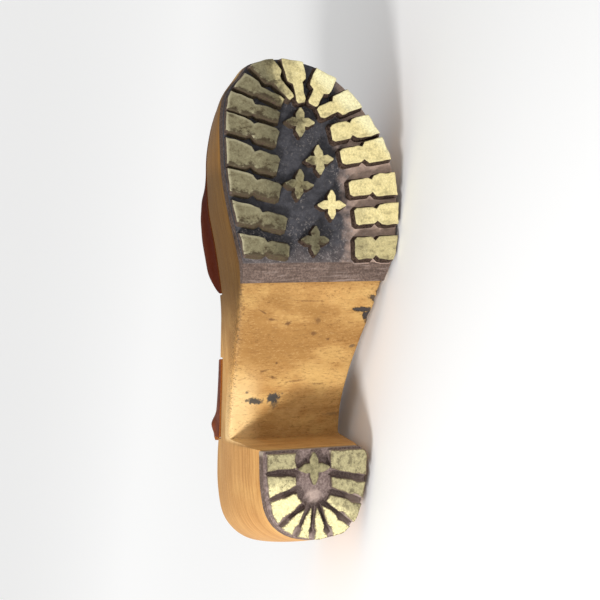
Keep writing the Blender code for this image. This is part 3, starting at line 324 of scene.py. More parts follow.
# Half of a noise's range, and the sockets of Blender's mix node for colours
NOISE_MIDDLE = 0.5
MIX_SHARE = 0
MIX_FIRST = 6
MIX_SECOND = 7
MIX_RESULT = 2

over = Matrix(((1.0, 0.0, 0.0), (0.0, 0.0, 1.0), (0.0, -1.0, 0.0))).to_4x4()
yaw = Matrix.Rotation(math.radians(LYING_YAW_DEG), 4, "Z")
roll = Matrix.Rotation(math.radians(LYING_ROLL_DEG), 4, "X")
SHOE_TO_ROW = Matrix.Translation(Vector(SHOE_AT) * MM) @ over @ roll @ yaw @ Matrix.Scale(MM, 4)
ROW_TO_SHOE = SHOE_TO_ROW.inverted()


def smooth(share):
    """Smooth change from 0 to 1."""
    share = min(1.0, max(0.0, share))
    return share * share * (3.0 - 2.0 * share)


def toe_spring(x):
    """Height of the lugs' faces above the floor at a place along the shoe."""
    for before, after in zip(TOE_SPRING, TOE_SPRING[1:]):
        if x <= after.x:
            share = (x - before.x) / (after.x - before.x)
            return before.lift + (after.lift - before.lift) * share
    return TOE_SPRING[-1].lift


def lug_depth(place):
    """How far a point lies behind the lugs' faces, as a share of the lugs' depth."""
    return (place.z - toe_spring(place.x)) / LUG_DEPTH


class Shader:
    """A material whose nodes are strung together by short calls."""

    def __init__(self, name, roughness=0.5, metallic=0.0, specular=0.5):
        self.material = bpy.data.materials.new(name)
        self.material.use_nodes = True
        self.nodes = self.material.node_tree.nodes
        self.links = self.material.node_tree.links
        self.surface = self.nodes["Principled BSDF"]
        self.put(self.surface, "Roughness", roughness)
        self.put(self.surface, "Metallic", metallic)
        self.put(self.surface, "Specular IOR Level", specular)

    def put(self, node, name, value):
        socket = node.inputs[name]
        if isinstance(value, bpy.types.NodeSocket):
            self.links.new(value, socket)
        elif isinstance(value, tuple) and socket.type == "RGBA":
            socket.default_value = (*value, 1.0)
        else:
            socket.default_value = value

    def add(self, kind, inputs, **settings):
        node = self.nodes.new(f"ShaderNode{kind}")
        for key, value in settings.items():
            setattr(node, key, value)
        for name, value in inputs.items():
            self.put(node, name, value)
        return node

    def place(self):
        """The point's place in the shoe's own frame, in millimetres."""
        return self.add("Attribute", {}, attribute_name="shoe").outputs["Vector"]

    def stored(self, name):
        """A number kept on the mesh."""
        return self.add("Attribute", {}, attribute_name=name).outputs["Fac"]

    def split(self, vector):
        made = self.add("SeparateXYZ", {"Vector": vector})
        return [made.outputs[axis] for axis in "XYZ"]

    def math(self, operation, first, second=0.0):
        return self.add("Math", {0: first, 1: second}, operation=operation).outputs[0]

    def plus(self, first, second):
        return self.math("ADD", first, second)

    def less(self, first, second):
        return self.math("SUBTRACT", first, second)

    def most(self, first, second):
        return self.math("MAXIMUM", first, second)

    def times(self, product, *factors):
        for factor in factors:
            product = self.math("MULTIPLY", product, factor)
        return product

    def noise(self, place, scale, detail=2.0, roughness=0.5, distortion=0.0):
        """Noise with so many waves to the millimetre, alike all ways or with a number for each axis."""
        if isinstance(scale, tuple):
            place = self.add("VectorMath", {0: place, 1: scale}, operation="MULTIPLY").outputs[0]
            scale = 1.0
        return self.add("TexNoise", {"Vector": place, "Scale": scale, "Detail": detail,
                                     "Roughness": roughness, "Distortion": distortion}).outputs["Fac"]

    def swing(self, waves, reach):
        """A noise made to swing to both sides of nought."""
        return self.times(self.less(waves, NOISE_MIDDLE), reach)

    def cells(self, vector, scale):
        return self.add("TexVoronoi", {"Vector": vector, "Scale": scale}).outputs["Distance"]

    def step(self, value, low, high, start=0.0, end=1.0):
        """Smooth change from start to end while the value goes from low to high."""
        return self.add("MapRange", {"Value": value, "From Min": low, "From Max": high,
                                     "To Min": start, "To Max": end},
                        interpolation_type="SMOOTHSTEP").outputs["Result"]

    def mix(self, share, first, second):
        """One colour that goes over into another by a share."""
        node = self.add("Mix", {}, data_type="RGBA")
        for socket, value in ((MIX_SHARE, share), (MIX_FIRST, first), (MIX_SECOND, second)):
            self.put(node, socket, value)
        return node.outputs[MIX_RESULT]

    def shade(self, colour, factor):
        """The colour times a number."""
        return self.add("VectorMath", {0: colour, "Scale": factor}, operation="SCALE").outputs[0]

    def spot(self, place, mark, ragged=0.0):
        """How much a mark on the underside covers the point, with ragged edges."""
        spread = self.add("Mapping", {"Vector": place, "Location": (mark.x, mark.y, 0.0),
                                      "Rotation": (0.0, 0.0, math.radians(mark.turn_deg)),
                                      "Scale": (mark.half_x, mark.half_y, MARK_HEIGHT)},
                          vector_type="TEXTURE").outputs[0]
        reach = self.add("VectorMath", {0: spread}, operation="LENGTH").outputs["Value"]
        reach = self.plus(reach, ragged)
        return self.step(reach, 1.0, 1.0 - mark.soft, 0.0, mark.strength)

    def covered(self, place, marks, ragged=0.0):
        """How much the strongest of several marks covers the point."""
        cover = 0.0
        for mark in marks:
            cover = self.most(self.spot(place, mark, ragged), cover)
        return cover

    def bump(self, height, distance, strength=1.0, normal=None):
        inputs = {"Height": height, "Distance": distance * MM, "Strength": strength}
        if normal:
            inputs["Normal"] = normal
        return self.add("Bump", inputs).outputs["Normal"]

    def finish(self, colour, roughness=None, normal=None):
        self.put(self.surface, "Base Color", colour)
        if roughness is not None:
            self.put(self.surface, "Roughness", roughness)
        if normal is not None:
            self.put(self.surface, "Normal", normal)
        return self.material


def alder_colour(make, place, x, lines, sunny):
    """Bands, lines and blotches of sawn alder, and the streaks of the heel block."""
    bands = make.noise(place, WOOD_GRAIN.bands, 4.0, 0.55, 0.35)
    blotch = make.noise(place, 0.045, 4.0, 0.6)
    streaks = make.noise(place, WOOD_GRAIN.streaks, 5.0, 0.7, 0.3)
    colour = make.mix(make.step(bands, 0.30, 0.72), WOOD.deep, WOOD.light)
    colour = make.mix(make.step(lines, 0.42, 0.78, 0.0, 0.5), colour, WOOD.line)
    colour = make.mix(make.step(blotch, 0.50, 0.72, 0.0, 0.45), colour, WOOD.pale_blotch)
    colour = make.mix(make.step(blotch, 0.46, 0.30, 0.0, 0.5), colour, WOOD.dark_blotch)
    colour = make.mix(make.step(sunny, 0.46, 0.66, 0.0, 0.5), colour, WOOD.sunny)
    colour = make.mix(make.step(sunny, 0.46, 0.32, 0.0, 0.4), colour, WOOD.dull)
    streaked = make.mix(make.step(streaks, 0.34, 0.66), WOOD.streak_light, WOOD.streak_dark)
    return make.mix(make.step(x, *WOOD_AT.heel_block, 0.0, 0.7), colour, streaked)


def waist_colour(make, colour, place, x, y, sunny, grain, waist):
    """The waist's underside: browned in the middle, a painted pool of light towards the heel, with pores
    and fibres.
    """
    slanted = make.plus(x, make.times(y, BROWNED_SLANT))
    browned = make.times(make.step(x, *WOOD_AT.browned_rear), make.step(slanted, *WOOD_AT.browned_front),
                         make.step(sunny, 0.62, 0.40, 0.25, 0.62), waist)
    colour = make.mix(browned, colour, WOOD.browned)
    # Painted light: a pale pool on the inner half of the waist, towards the heel.
    sunlit = make.times(make.step(y, *WOOD_AT.sunlit_side), make.step(x, *WOOD_AT.sunlit_front),
                        make.step(waist, 0.0, 1.0, 0.0, 0.55))
    colour = make.mix(sunlit, colour, WOOD.sunlit)
    clusters = make.step(make.noise(place, 0.10, 3.0, 0.6), 0.40, 0.62, 0.25, 1.0)
    clusters = make.most(clusters, make.step(x, *WOOD_AT.porous_front))
    pores = make.times(make.step(grain, 0.52, 0.66, 0.0, 0.8), clusters,
                       make.step(waist, 0.0, 1.0, 0.22, 1.0))
    colour = make.mix(pores, colour, WOOD.pore)
    threads = make.step(make.noise(place, WOOD_GRAIN.threads, 4.0, 0.65), 0.56, 0.68, 0.0, 0.55)
    colour = make.mix(make.times(threads, waist), colour, WOOD.thread)
    flecks = make.times(make.step(grain, 0.47, 0.36, 0.0, 0.3), make.step(waist, 0.0, 1.0, 0.5, 1.0))
    return make.mix(flecks, colour, WOOD.fleck)


def inner_wall_colour(make, colour, x, y, lines, grain, above):
    """The wood's inner wall: a painted highlight beside the arch, grime deepened by painted shade further
    forward, painted shade under the toe leather, and a dirty lower edge.
    """
    side = make.step(y, *WOOD_AT.inner_wall)
    # Painted highlight: the inner wall lighter beside the arch.
    wear_and_highlight = make.times(make.step(x, *WOOD_AT.lit_wall_rear), make.step(x, *WOOD_AT.lit_wall_front, 0.0, 0.42))
    colour = make.mix(make.times(side, wear_and_highlight), colour, WOOD.wear_and_highlight)
    # Grime deepened by painted shade: the inner wall darker further forward, towards the toe.
    grime_and_shade = make.times(side, make.step(x, *WOOD_AT.grime_shade_front, 0.12, 0.92),
                       make.step(x, *WOOD_AT.grime_shade_rear))
    grimy_and_shaded = make.mix(make.step(lines, 0.3, 0.7), WOOD.shaded_grime_light, WOOD.shaded_grime_dark)
    colour = make.mix(grime_and_shade, colour, grimy_and_shaded)
    shaded = make.times(side, make.step(x, *WOOD_AT.shade_front))
    darkest = make.step(x, *WOOD_AT.shade_rear, 1.0, 0.62)
    colour = make.shade(colour, make.step(shaded, 0.0, 1.0, 1.0, darkest))
    off_arris = make.math("ABSOLUTE", make.plus(y, INNER_ARRIS))
    dirt = make.times(make.step(off_arris, *WOOD_AT.dirt_width), make.step(grain, 0.46, 0.60, 0.0, 0.7),
                      make.step(x, *WOOD_AT.dirt_rear), make.step(above, *WOOD_AT.dirt_height, 0.15, 1.0))
    return make.mix(dirt, colour, WOOD.dirt)


def wood_material():
    """Alder in stacked layers, with dark pores, stains and knocked edges."""
    make = Shader("oiled_alder", roughness=0.55, specular=0.16)
    place = make.place()
    x, y, z = make.split(place)
    lines = make.noise(place, WOOD_GRAIN.lines, 3.0, 0.6, 0.2)
    sunny = make.noise(place, WOOD_GRAIN.sunny, 3.0, 0.6)
    grain = make.noise(place, WOOD_GRAIN.pores, 6.0, 0.78)
    ragged = make.swing(make.noise(place, 0.55, 5.0, 0.75), 2.4)
    above = make.less(make.plus(z, make.times(x, WAIST_SLOPE)), WAIST_START)
    under = make.step(above, *WOOD_AT.underside)
    waist = make.times(under, make.step(x, *WOOD_AT.waist_rear))
    colour = alder_colour(make, place, x, lines, sunny)
    colour = waist_colour(make, colour, place, x, y, sunny, grain, waist)
    for marks, tone in ((PORES, WOOD.large_pore), (SMUDGES, WOOD.smudge)):
        colour = make.mix(make.times(make.covered(place, marks, ragged), under), colour, tone)
    chip = make.times(make.covered(place, CHIPS, ragged), under)
    colour = make.mix(chip, colour, WOOD.chip)
    colour = inner_wall_colour(make, colour, x, y, lines, grain, above)
    normal = make.bump(make.plus(make.times(lines, 0.5), grain), 0.09, 0.6)
    normal = make.bump(make.times(chip, -1.0), 0.6, 0.8, normal)
    return make.finish(colour, make.step(grain, 0.3, 0.8, 0.50, 0.70), normal)


def rubber_base(make, place, fine, broad):
    """Colours that both treads share below the lugs' faces: walls and the outer band."""
    brushed = make.noise(place, BRUSHED_GRAIN, 4.0, 0.7)
    wall = make.mix(make.step(fine, 0.38, 0.62), RUBBER.wall_dark, RUBBER.wall_light)
    band = make.mix(make.step(fine, 0.40, 0.62), RUBBER.band_dark, RUBBER.band_light)
    band = make.mix(make.step(brushed, 0.52, 0.68, 0.0, 0.6), band, RUBBER.brushed_light)
    band = make.mix(make.step(brushed, 0.48, 0.34, 0.0, 0.6), band, RUBBER.brushed_dark)
    band = make.mix(make.step(broad, 0.45, 0.7, 0.0, 0.6), band, RUBBER.stain)
    return wall, band


def layered(make, face, wall, floor, band, floor_from):
    """Face, wall, floor and band of a tread by the depth below the lugs' faces."""
    depth = make.stored("depth")
    wall = make.mix(make.step(make.stored("outer"), 0.35, 0.75), wall, band)
    colour = make.mix(make.step(depth, *FACE_END), face, wall)
    colour = make.mix(make.step(depth, floor_from, floor_from + FLOOR_SOFT), colour, floor)
    return make.mix(make.step(depth, *BAND_START), colour, band)


def fore_face(make, place, x, y, across, fine, mottle):
    """Worn faces of the half sole: pale on the outer side and at the toe, khaki on the inner side, with
    painted highlights on the inner lugs' rims and darker next to walls that face the heel.
    """
    dull = make.covered(place, DULL_LUGS)
    wear_and_highlight = make.plus(across, make.step(x, *FORE_AT.rubbed_toe, 0.0, TOE_SHIFT))
    pale = make.times(make.step(wear_and_highlight, *FORE_AT.pale), make.step(dull, 0.0, 1.0, 1.0, 0.0))
    face = make.mix(pale, FORE.khaki, FORE.pale)
    brown = make.times(make.step(mottle, 0.47, 0.66, 0.0, 0.8), make.step(pale, 0.0, 1.0, 1.0, 0.4))
    face = make.mix(brown, face, FORE.brown)
    face = make.mix(make.step(mottle, 0.46, 0.30, 0.0, 0.55), face,
                    make.mix(pale, FORE.khaki_light, FORE.pale_light))
    bleached = make.step(make.plus(x, y), *FORE_AT.bleached, 0.0, 0.7)
    face = make.mix(bleached, face, FORE.bleached)
    face = make.shade(face, make.step(fine, 0.30, 0.70, 1.18, 0.80))
    inner = make.step(y, *FORE_AT.inner_lugs, 1.05, 0.60)
    face = make.shade(face, make.most(inner, make.step(pale, 0.1, 0.5)))
    # Painted highlight: lighter rims on the inner lugs.
    lit = make.times(make.stored("edge"), make.step(y, *FORE_AT.lit_rims, 0.15, 0.8))
    face = make.mix(lit, face, make.mix(pale, FORE.khaki_highlight, FORE.pale_highlight))
    # Darker on the faces next to walls that face the heel.
    ragged = make.plus(make.stored("heelward"), make.swing(mottle, 2.6))
    heelward_dark = make.times(make.step(ragged, 0.18, 0.70), make.step(pale, 0.0, 0.8, 0.92, 0.2))
    return make.mix(heelward_dark, face, FORE.heelward_dark)


def forefoot_rubber_material():
    """Half sole: faces worn pale on the outer side, khaki on the inner; slate floor with dust; painted
    shade on the band's inner side.
    """
    make = Shader("worn_lug_rubber", roughness=0.85, specular=0.1)
    place = make.place()
    x, y, _ = make.split(place)
    fine = make.noise(place, 0.95, 6.0, 0.74)
    mottle = make.noise(place, FORE_MOTTLE, 6.0, 0.7)
    broad = make.noise(place, 0.11, 3.0, 0.55)
    wander = make.swing(broad, FORE_WANDER)
    across = make.plus(y, wander)
    face = fore_face(make, place, x, y, across, fine, mottle)
    wall, band = rubber_base(make, place, fine, broad)
    # Painted shade: the outer band darker on the inner side.
    band = make.shade(band, make.step(y, *FORE_AT.shaded_inner_band, 1.0, 0.55))
    olive = make.times(make.step(y, *FORE_AT.olive_walls, 0.0, 0.8), make.step(fine, 0.60, 0.42))
    wall = make.mix(olive, wall, FORE.olive)
    mauve = make.most(make.step(across, *FORE_AT.mauve_side),
                      make.step(make.plus(x, wander), *FORE_AT.mauve_rear, 0.0, 0.12))
    floor = make.mix(mauve, FORE.slate, FORE.mauve)
    floor = make.shade(floor, make.step(mottle, 0.32, 0.68, 0.72, 1.22))
    patch = make.plus(make.noise(place, 0.055, 2.0, 0.5), make.step(x, *FORE_AT.dusty_rear, 0.0, 0.2))
    for mark in DUST:
        patch = make.plus(make.spot(place, mark), patch)
    specks = make.step(make.noise(place, 0.8, 4.0, 0.75), 0.52, 0.68)
    dust = make.times(specks, make.step(patch, 0.46, 0.80, 0.08, 0.75))
    floor = make.mix(dust, floor, FORE.dust)
    colour = layered(make, face, wall, floor, band, FORE_FLOOR)
    normal = make.bump(make.plus(fine, make.times(dust, 0.5)), 0.3, 0.9)
    return make.finish(colour, make.step(fine, 0.3, 0.8, 0.72, 0.95), normal)


def heel_face(make, place, x, y, wander, fine, mottle):
    """Worn faces of the heel piece: cream at the back, speckled khaki in front, a dull cross."""
    lean = make.times(make.most(y, 0.0), HEEL_LEAN)
    cream = make.step(make.plus(make.plus(x, lean), wander), *HEEL_AT.cream)
    face = make.mix(cream, HEEL.khaki, HEEL.cream)
    grit = make.times(make.step(mottle, 0.47, 0.62, 0.0, 0.7), make.step(cream, 0.2, 0.9, 1.0, 0.25))
    face = make.mix(grit, face, HEEL.grit)
    face = make.mix(make.step(mottle, 0.46, 0.32, 0.0, 0.6), face,
                    make.mix(cream, HEEL.khaki_light, HEEL.cream_light))
    face = make.shade(face, make.step(fine, 0.30, 0.70, 1.22, 0.76))
    ragged = make.plus(make.stored("edge"), make.swing(fine, 2.6))
    face = make.mix(make.step(ragged, 0.55, 1.0, 0.0, 0.8), face, HEEL.rim)
    cross = make.shade(HEEL.cross, make.step(mottle, 0.35, 0.65, 1.35, 0.6))
    return make.mix(make.spot(place, HEEL_CROSS), face, cross)


def heel_rubber_material():
    """Heel piece: cream faces at the back, speckled khaki in front, a dusty mauve hollow, and painted light
    on the walls and band at its front.
    """
    make = Shader("worn_heel_rubber", roughness=0.85, specular=0.1)
    place = make.place()
    x, y, _ = make.split(place)
    fine = make.noise(place, 0.95, 6.0, 0.74)
    mottle = make.noise(place, 0.33, 6.0, 0.7)
    broad = make.noise(place, 0.11, 3.0, 0.55)
    face = heel_face(make, place, x, y, make.swing(broad, HEEL_WANDER), fine, mottle)
    wall, band = rubber_base(make, place, fine, broad)
    wall = make.mix(make.step(fine, 0.62, 0.42, 0.0, 0.75), wall, HEEL.wall)
    floor = make.mix(make.step(fine, 0.4, 0.65), HEEL.hollow_dark, HEEL.hollow_light)
    squares = [make.math("POWER", make.less(value, middle), 2.0)
               for value, middle in zip((x, y), HEEL_MIDDLE)]
    far = make.math("SQRT", make.plus(*squares))
    mouth = make.times(make.step(far, *HEEL_AT.mouths, 0.0, 0.8), make.step(x, *HEEL_AT.mouths_front),
                       make.step(make.stored("outer"), 0.75, 0.35))
    wall = make.mix(mouth, wall, HEEL.mouth)
    floor = make.mix(mouth, floor, HEEL.mouth)
    # Painted light: walls and band at the front of the heel piece lighter, though they face the toe, away
    # from the lamp.
    lit_front = make.step(x, *HEEL_AT.lit_front, 0.0, 0.85)
    wall = make.mix(lit_front, wall, HEEL.lit_front_wall)
    band = make.mix(lit_front, band, HEEL.lit_front_band)
    ragged = make.swing(make.noise(place, 0.5, 3.0, 0.65), 1.2)
    dust = make.times(make.covered(place, HEEL_DUST, ragged), make.step(fine, 0.66, 0.40, 0.35, 1.0))
    floor = make.mix(dust, floor, HEEL.dust)
    colour = layered(make, face, wall, floor, band, HEEL_FLOOR)
    return make.finish(colour, make.step(fine, 0.3, 0.8, 0.72, 0.95), make.bump(fine, 0.3, 0.9))


def leather_material():
    """Smooth cognac leather with a fine grain, and painted shade above the inner rim of the toe."""
    make = Shader("cognac_leather", roughness=0.5, specular=0.07)
    place = make.place()
    x, y, z = make.split(place)
    broad = make.noise(place, 0.045, 3.0, 0.55)
    mottle = make.noise(place, 0.35, 4.0, 0.6)
    pebble = make.cells(place, 1.15)
    colour = make.mix(make.step(broad, 0.32, 0.7), LEATHER.dark, LEATHER.light)
    colour = make.mix(make.step(mottle, 0.45, 0.75, 0.0, 0.35), colour, LEATHER.dark)
    colour = make.shade(colour, make.step(pebble, 0.15, 0.7, 1.06, 0.86))
    # Painted shade: the toe's leather darker above the inner rim, and rougher there so that it shows less
    # sheen.
    rim_shade = make.times(make.step(z, *LEATHER_AT.rim_shade_height, 0.0, 0.88),
                         make.step(y, *LEATHER_AT.rim_shade_side), make.step(x, *LEATHER_AT.rim_shade_rear))
    colour = make.mix(rim_shade, colour, LEATHER.painted_rim_shade)
    normal = make.bump(make.less(make.times(mottle, 0.5), pebble), 0.10, 0.6)
    roughness = make.plus(make.step(mottle, 0.3, 0.75, 0.42, 0.6), make.times(rim_shade, 0.35))
    return make.finish(colour, roughness, normal)


def raw_leather_material(name, light, dark, grain):
    """Cut edge or flesh side of the leather, with short fibres."""
    make = Shader(name, roughness=0.9, specular=0.07)
    fibre = make.noise(make.place(), grain, 4.0, 0.7)
    colour = make.mix(make.step(fibre, 0.35, 0.7), dark, light)
    return make.finish(colour, None, make.bump(fibre, 0.25, 0.7))


def brass_material():
    """Antique brass, unevenly tarnished and finely scratched."""
    make = Shader("antique_brass", roughness=0.34, metallic=1.0)
    place = make.place()
    tarnish = make.noise(place, 0.6, 4.0, 0.65)
    scratch = make.noise(place, BRASS.scratches, 2.0, 0.5)
    colour = make.mix(make.step(tarnish, 0.35, 0.7), BRASS.dark, BRASS.light)
    return make.finish(colour, make.step(tarnish, 0.3, 0.7, 0.46, 0.28), make.bump(scratch, 0.03, 0.4))


def floor_material():
    """Plain pale sweep whose distant part glows a little: painted light where the lamp's light falls off.
    """
    make = Shader("pale_floor", roughness=0.9, specular=0.1)
    _, far, _ = make.split(make.add("NewGeometry", {}).outputs["Position"])
    # Painted light: the floor glows more with distance.
    make.put(make.surface, "Emission Color", WHITE)
    make.put(make.surface, "Emission Strength", make.step(far, *FAR_FLOOR, 0.0, FAR_GLOW))
    return make.finish(FLOOR_COLOUR)


def shoe_mesh(node):
    """A CAD solid's mesh in the shoe's own frame, in millimetres, with its points welded."""
    bm = bmesh.new()
    bm.from_mesh(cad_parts[node].data)
    bmesh.ops.transform(bm, matrix=ROW_TO_SHOE, verts=bm.verts)
    bmesh.ops.remove_doubles(bm, verts=bm.verts, dist=WELD)
    bmesh.ops.recalc_face_normals(bm, faces=bm.faces)
    return bm


def sharp_edges(bm, degrees):
    """Edges whose two faces turn by more than an angle."""
    limit = math.radians(degrees)
    return [edge for edge in bm.edges if edge.is_manifold and edge.calc_face_angle(0.0) > limit]


def placed(bm, name):
    """A linked object that takes over a mesh."""
    mesh = bpy.data.meshes.new(name)
    bm.to_mesh(mesh)
    bm.free()
    made = bpy.data.objects.new(name, mesh)
    bpy.context.scene.collection.objects.link(made)
    return made


def modified(holder, helpers=()):
    """The mesh that an object's modifiers make of it. The object and its helpers are removed."""
    graph = bpy.context.evaluated_depsgraph_get()
    result = bpy.data.meshes.new_from_object(holder.evaluated_get(graph))
    made = bmesh.new()
    made.from_mesh(result)
    bpy.data.meshes.remove(result)
    for spent in (holder, *helpers):
        mesh = spent.data
        bpy.data.objects.remove(spent)
        bpy.data.meshes.remove(mesh)
    return made


def dress(name, node, bm, materials, numbers=None, smooth_deg=SMOOTH_DEG):
    """The finished piece, placed in the row, that stands for a CAD solid."""
    piece = placed(bm, name)
    mesh = piece.data
    places = [value for vertex in mesh.vertices for value in vertex.co]
    mesh.attributes.new("shoe", "FLOAT_VECTOR", "POINT").data.foreach_set("vector", places)
    for key, values in (numbers or {}).items():
        mesh.attributes.new(key, "FLOAT", "POINT").data.foreach_set("value", values)
    mesh.transform(SHOE_TO_ROW)
    for material in materials:
        mesh.materials.append(material)
    mesh.shade_smooth()
    mesh.set_sharp_from_angle(angle=math.radians(smooth_deg))
    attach(piece, "root")
    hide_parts(node)


def subdivided(bm, sharp_deg):
    """Joins triangles into quads and subdivides them smoothly, with sharp edges kept."""
    bmesh.ops.join_triangles(bm, faces=bm.faces, angle_face_threshold=math.radians(JOINED_FACE_DEG),
                             angle_shape_threshold=math.radians(JOINED_SHAPE_DEG))
    layer = bm.edges.layers.float.new("crease_edge")
    for edge in sharp_edges(bm, sharp_deg):
        edge[layer] = FULL_CREASE
    holder = placed(bm, "refined")
    modifier = holder.modifiers.new("smooth", "SUBSURF")
    modifier.levels = SMOOTH_LEVELS
    modifier.render_levels = SMOOTH_LEVELS
    made = modified(holder)
    for layer in list(made.edges.layers.float):
        made.edges.layers.float.remove(layer)
    return made


def knocked(bm):
    """Small hollows where bits of wood are knocked off the edge of the waist."""
    bm.normal_update()
    for vertex in bm.verts:
        x, y, z = vertex.co
        if z + WAIST_SLOPE * x - WAIST_START > KNOCK_HEIGHT:
            continue
        for mark in CHIPS:
            turn = math.radians(mark.turn_deg)
            along = (x - mark.x) * math.cos(turn) + (y - mark.y) * math.sin(turn)
            aside = (y - mark.y) * math.cos(turn) - (x - mark.x) * math.sin(turn)
            reach = (along / mark.half_x) ** 2 + (aside / mark.half_y) ** 2
            if reach < 1.0:
                vertex.co -= vertex.normal * KNOCK_DEPTH * mark.strength * (1.0 - reach)
    return bm


def smooth_patches(bm, sharp_deg):
    """Faces in patches that sharp edges part, the largest patch first."""
    fences = set(sharp_edges(bm, sharp_deg))
    patches = []
    seen = set()
    for start in bm.faces:
        if start in seen:
            continue
        patch = []
        queue = [start]
        seen.add(start)
        while queue:
            face = queue.pop()
            patch.append(face)
            for edge in face.edges:
                for other in edge.link_faces:
                    if edge not in fences and other not in seen:
                        seen.add(other)
                        queue.append(other)
        patches.append(patch)
    patches.sort(key=lambda patch: -sum(face.calc_area() for face in patch))
    return patches


def leather_sheet(node, inside):
    """A leather piece's mesh, smooth, with grain side, flesh side and cut edges told apart.

    The two largest patches are the sides, and the grain side is the one that faces away from a point
    inside the shoe.
    """
    bm = shoe_mesh(node)
    patches = smooth_patches(bm, SHEET_SHARP_DEG)
    for face in bm.faces:
        face.material_index = CUT_EDGE
    for patch in patches[:2]:
        away = sum(face.calc_area() * face.normal.dot(face.calc_center_median() - Vector(inside))
                   for face in patch)
        for face in patch:
            face.material_index = GRAIN_SIDE if away > 0.0 else FLESH_SIDE
    return subdivided(bm, SHEET_SHARP_DEG)


def flexed(bm):
    """Soft creases across the toe's leather where the foot bends, and slight unevenness."""
    for vertex in bm.verts:
        x, y, z = vertex.co
        held = smooth((z - CREASE_FROM_Z) / CREASE_RISE)
        share = y / CREASE_HALF_SPAN
        lift = UNEVEN * noise.noise(vertex.co * UNEVEN_SCALE)
        for crease in CREASES:
            line = crease.x + crease.lean * share + crease.bow * share * share
            off = (x - line) / crease.half_width
            fade = math.exp(-((share - crease.middle) / crease.reach) ** 2)
            trough = math.exp(-off * off)
            ridge = math.exp(-(off - RIDGE_OFF) ** 2) + math.exp(-(off + RIDGE_OFF) ** 2)
            lift += crease.depth * fade * (RIDGE_SHARE * ridge - trough)
        outward = Vector((0.0, y, z - CREASE_AXIS_Z)).normalized()
        vertex.co += outward * lift * held
    return bm


def bent_out(bm):
    """The strap's foot on the inner side, bent outwards where it is pulled in use."""
    for vertex in bm.verts:
        x, y, z = vertex.co
        if y < 0.0:
            off = ((x - BENT_AT[0]) / BENT_HALF[0]) ** 2 + ((z - BENT_AT[1]) / BENT_HALF[1]) ** 2
            vertex.co.y -= BENT_BY * math.exp(-off)
    return bm


def punched(bm):
    """Round holes through the strap's free end."""
    strap = placed(bm, "punched")
    tool = bmesh.new()
    for hole in STRAP_HOLES:
        turn = Vector((0.0, 0.0, 1.0)).rotation_difference(Vector(hole.normal)).to_matrix().to_4x4()
        bmesh.ops.create_cone(tool, cap_ends=True, segments=HOLE_SIDES, radius1=HOLE_RADIUS,
                              radius2=HOLE_RADIUS, depth=HOLE_LENGTH,
                              matrix=Matrix.Translation(hole.at) @ turn)
    for face in tool.faces:
        face.material_index = CUT_EDGE
    punch = placed(tool, "punch")
    cut = strap.modifiers.new("holes", "BOOLEAN")
    cut.operation = "DIFFERENCE"
    cut.solver = "EXACT"
    cut.material_mode = "INDEX"
    cut.object = punch
    return modified(strap, [punch])


def grid_cut(bm, step, axes):
    """Cuts every face along evenly spaced planes, so that points lie all over it."""
    for axis in axes:
        low = min(vertex.co[axis] for vertex in bm.verts)
        high = max(vertex.co[axis] for vertex in bm.verts)
        normal = Vector([1.0 if index == axis else 0.0 for index in range(3)])
        for count in range(1, int((high - low) / step) + 1):
            geometry = bm.verts[:] + bm.edges[:] + bm.faces[:]
            bmesh.ops.bisect_plane(bm, geom=geometry, dist=CUT_TOLERANCE, plane_no=normal,
                                   plane_co=normal * (low + step * count))


def worn_lugs(node):
    """A tread's mesh, cut finely, with its lugs' edges rounded and a little uneven."""
    bm = shoe_mesh(node)
    bmesh.ops.dissolve_limit(bm, angle_limit=math.radians(LUG_FLAT_DEG), verts=bm.verts, edges=bm.edges)
    bmesh.ops.dissolve_degenerate(bm, edges=bm.edges, dist=LUG_SHORTEST)
    rims = [edge for edge in sharp_edges(bm, LUG_RIM_DEG)
            if edge.is_convex and max(lug_depth(vertex.co) for vertex in edge.verts) < LUG_RIM_DEPTH]
    bmesh.ops.bevel(bm, geom=rims, offset=LUG_EDGE_ROUND, segments=LUG_EDGE_STEPS,
                    profile=LUG_EDGE_PROFILE, affect="EDGES", clamp_overlap=False)
    bmesh.ops.triangulate(bm, faces=bm.faces)
    grid_cut(bm, RUBBER_GRID, (0, 1))
    noise.seed_set(WORN_SEED)
    for vertex in bm.verts:
        held = smooth(1.0 - lug_depth(vertex.co))
        wander = noise.noise_vector(vertex.co * WORN_SCALE) * held * WORN_BY
        vertex.co.x += wander.x
        vertex.co.y += wander.y
    bm.normal_update()
    return bm


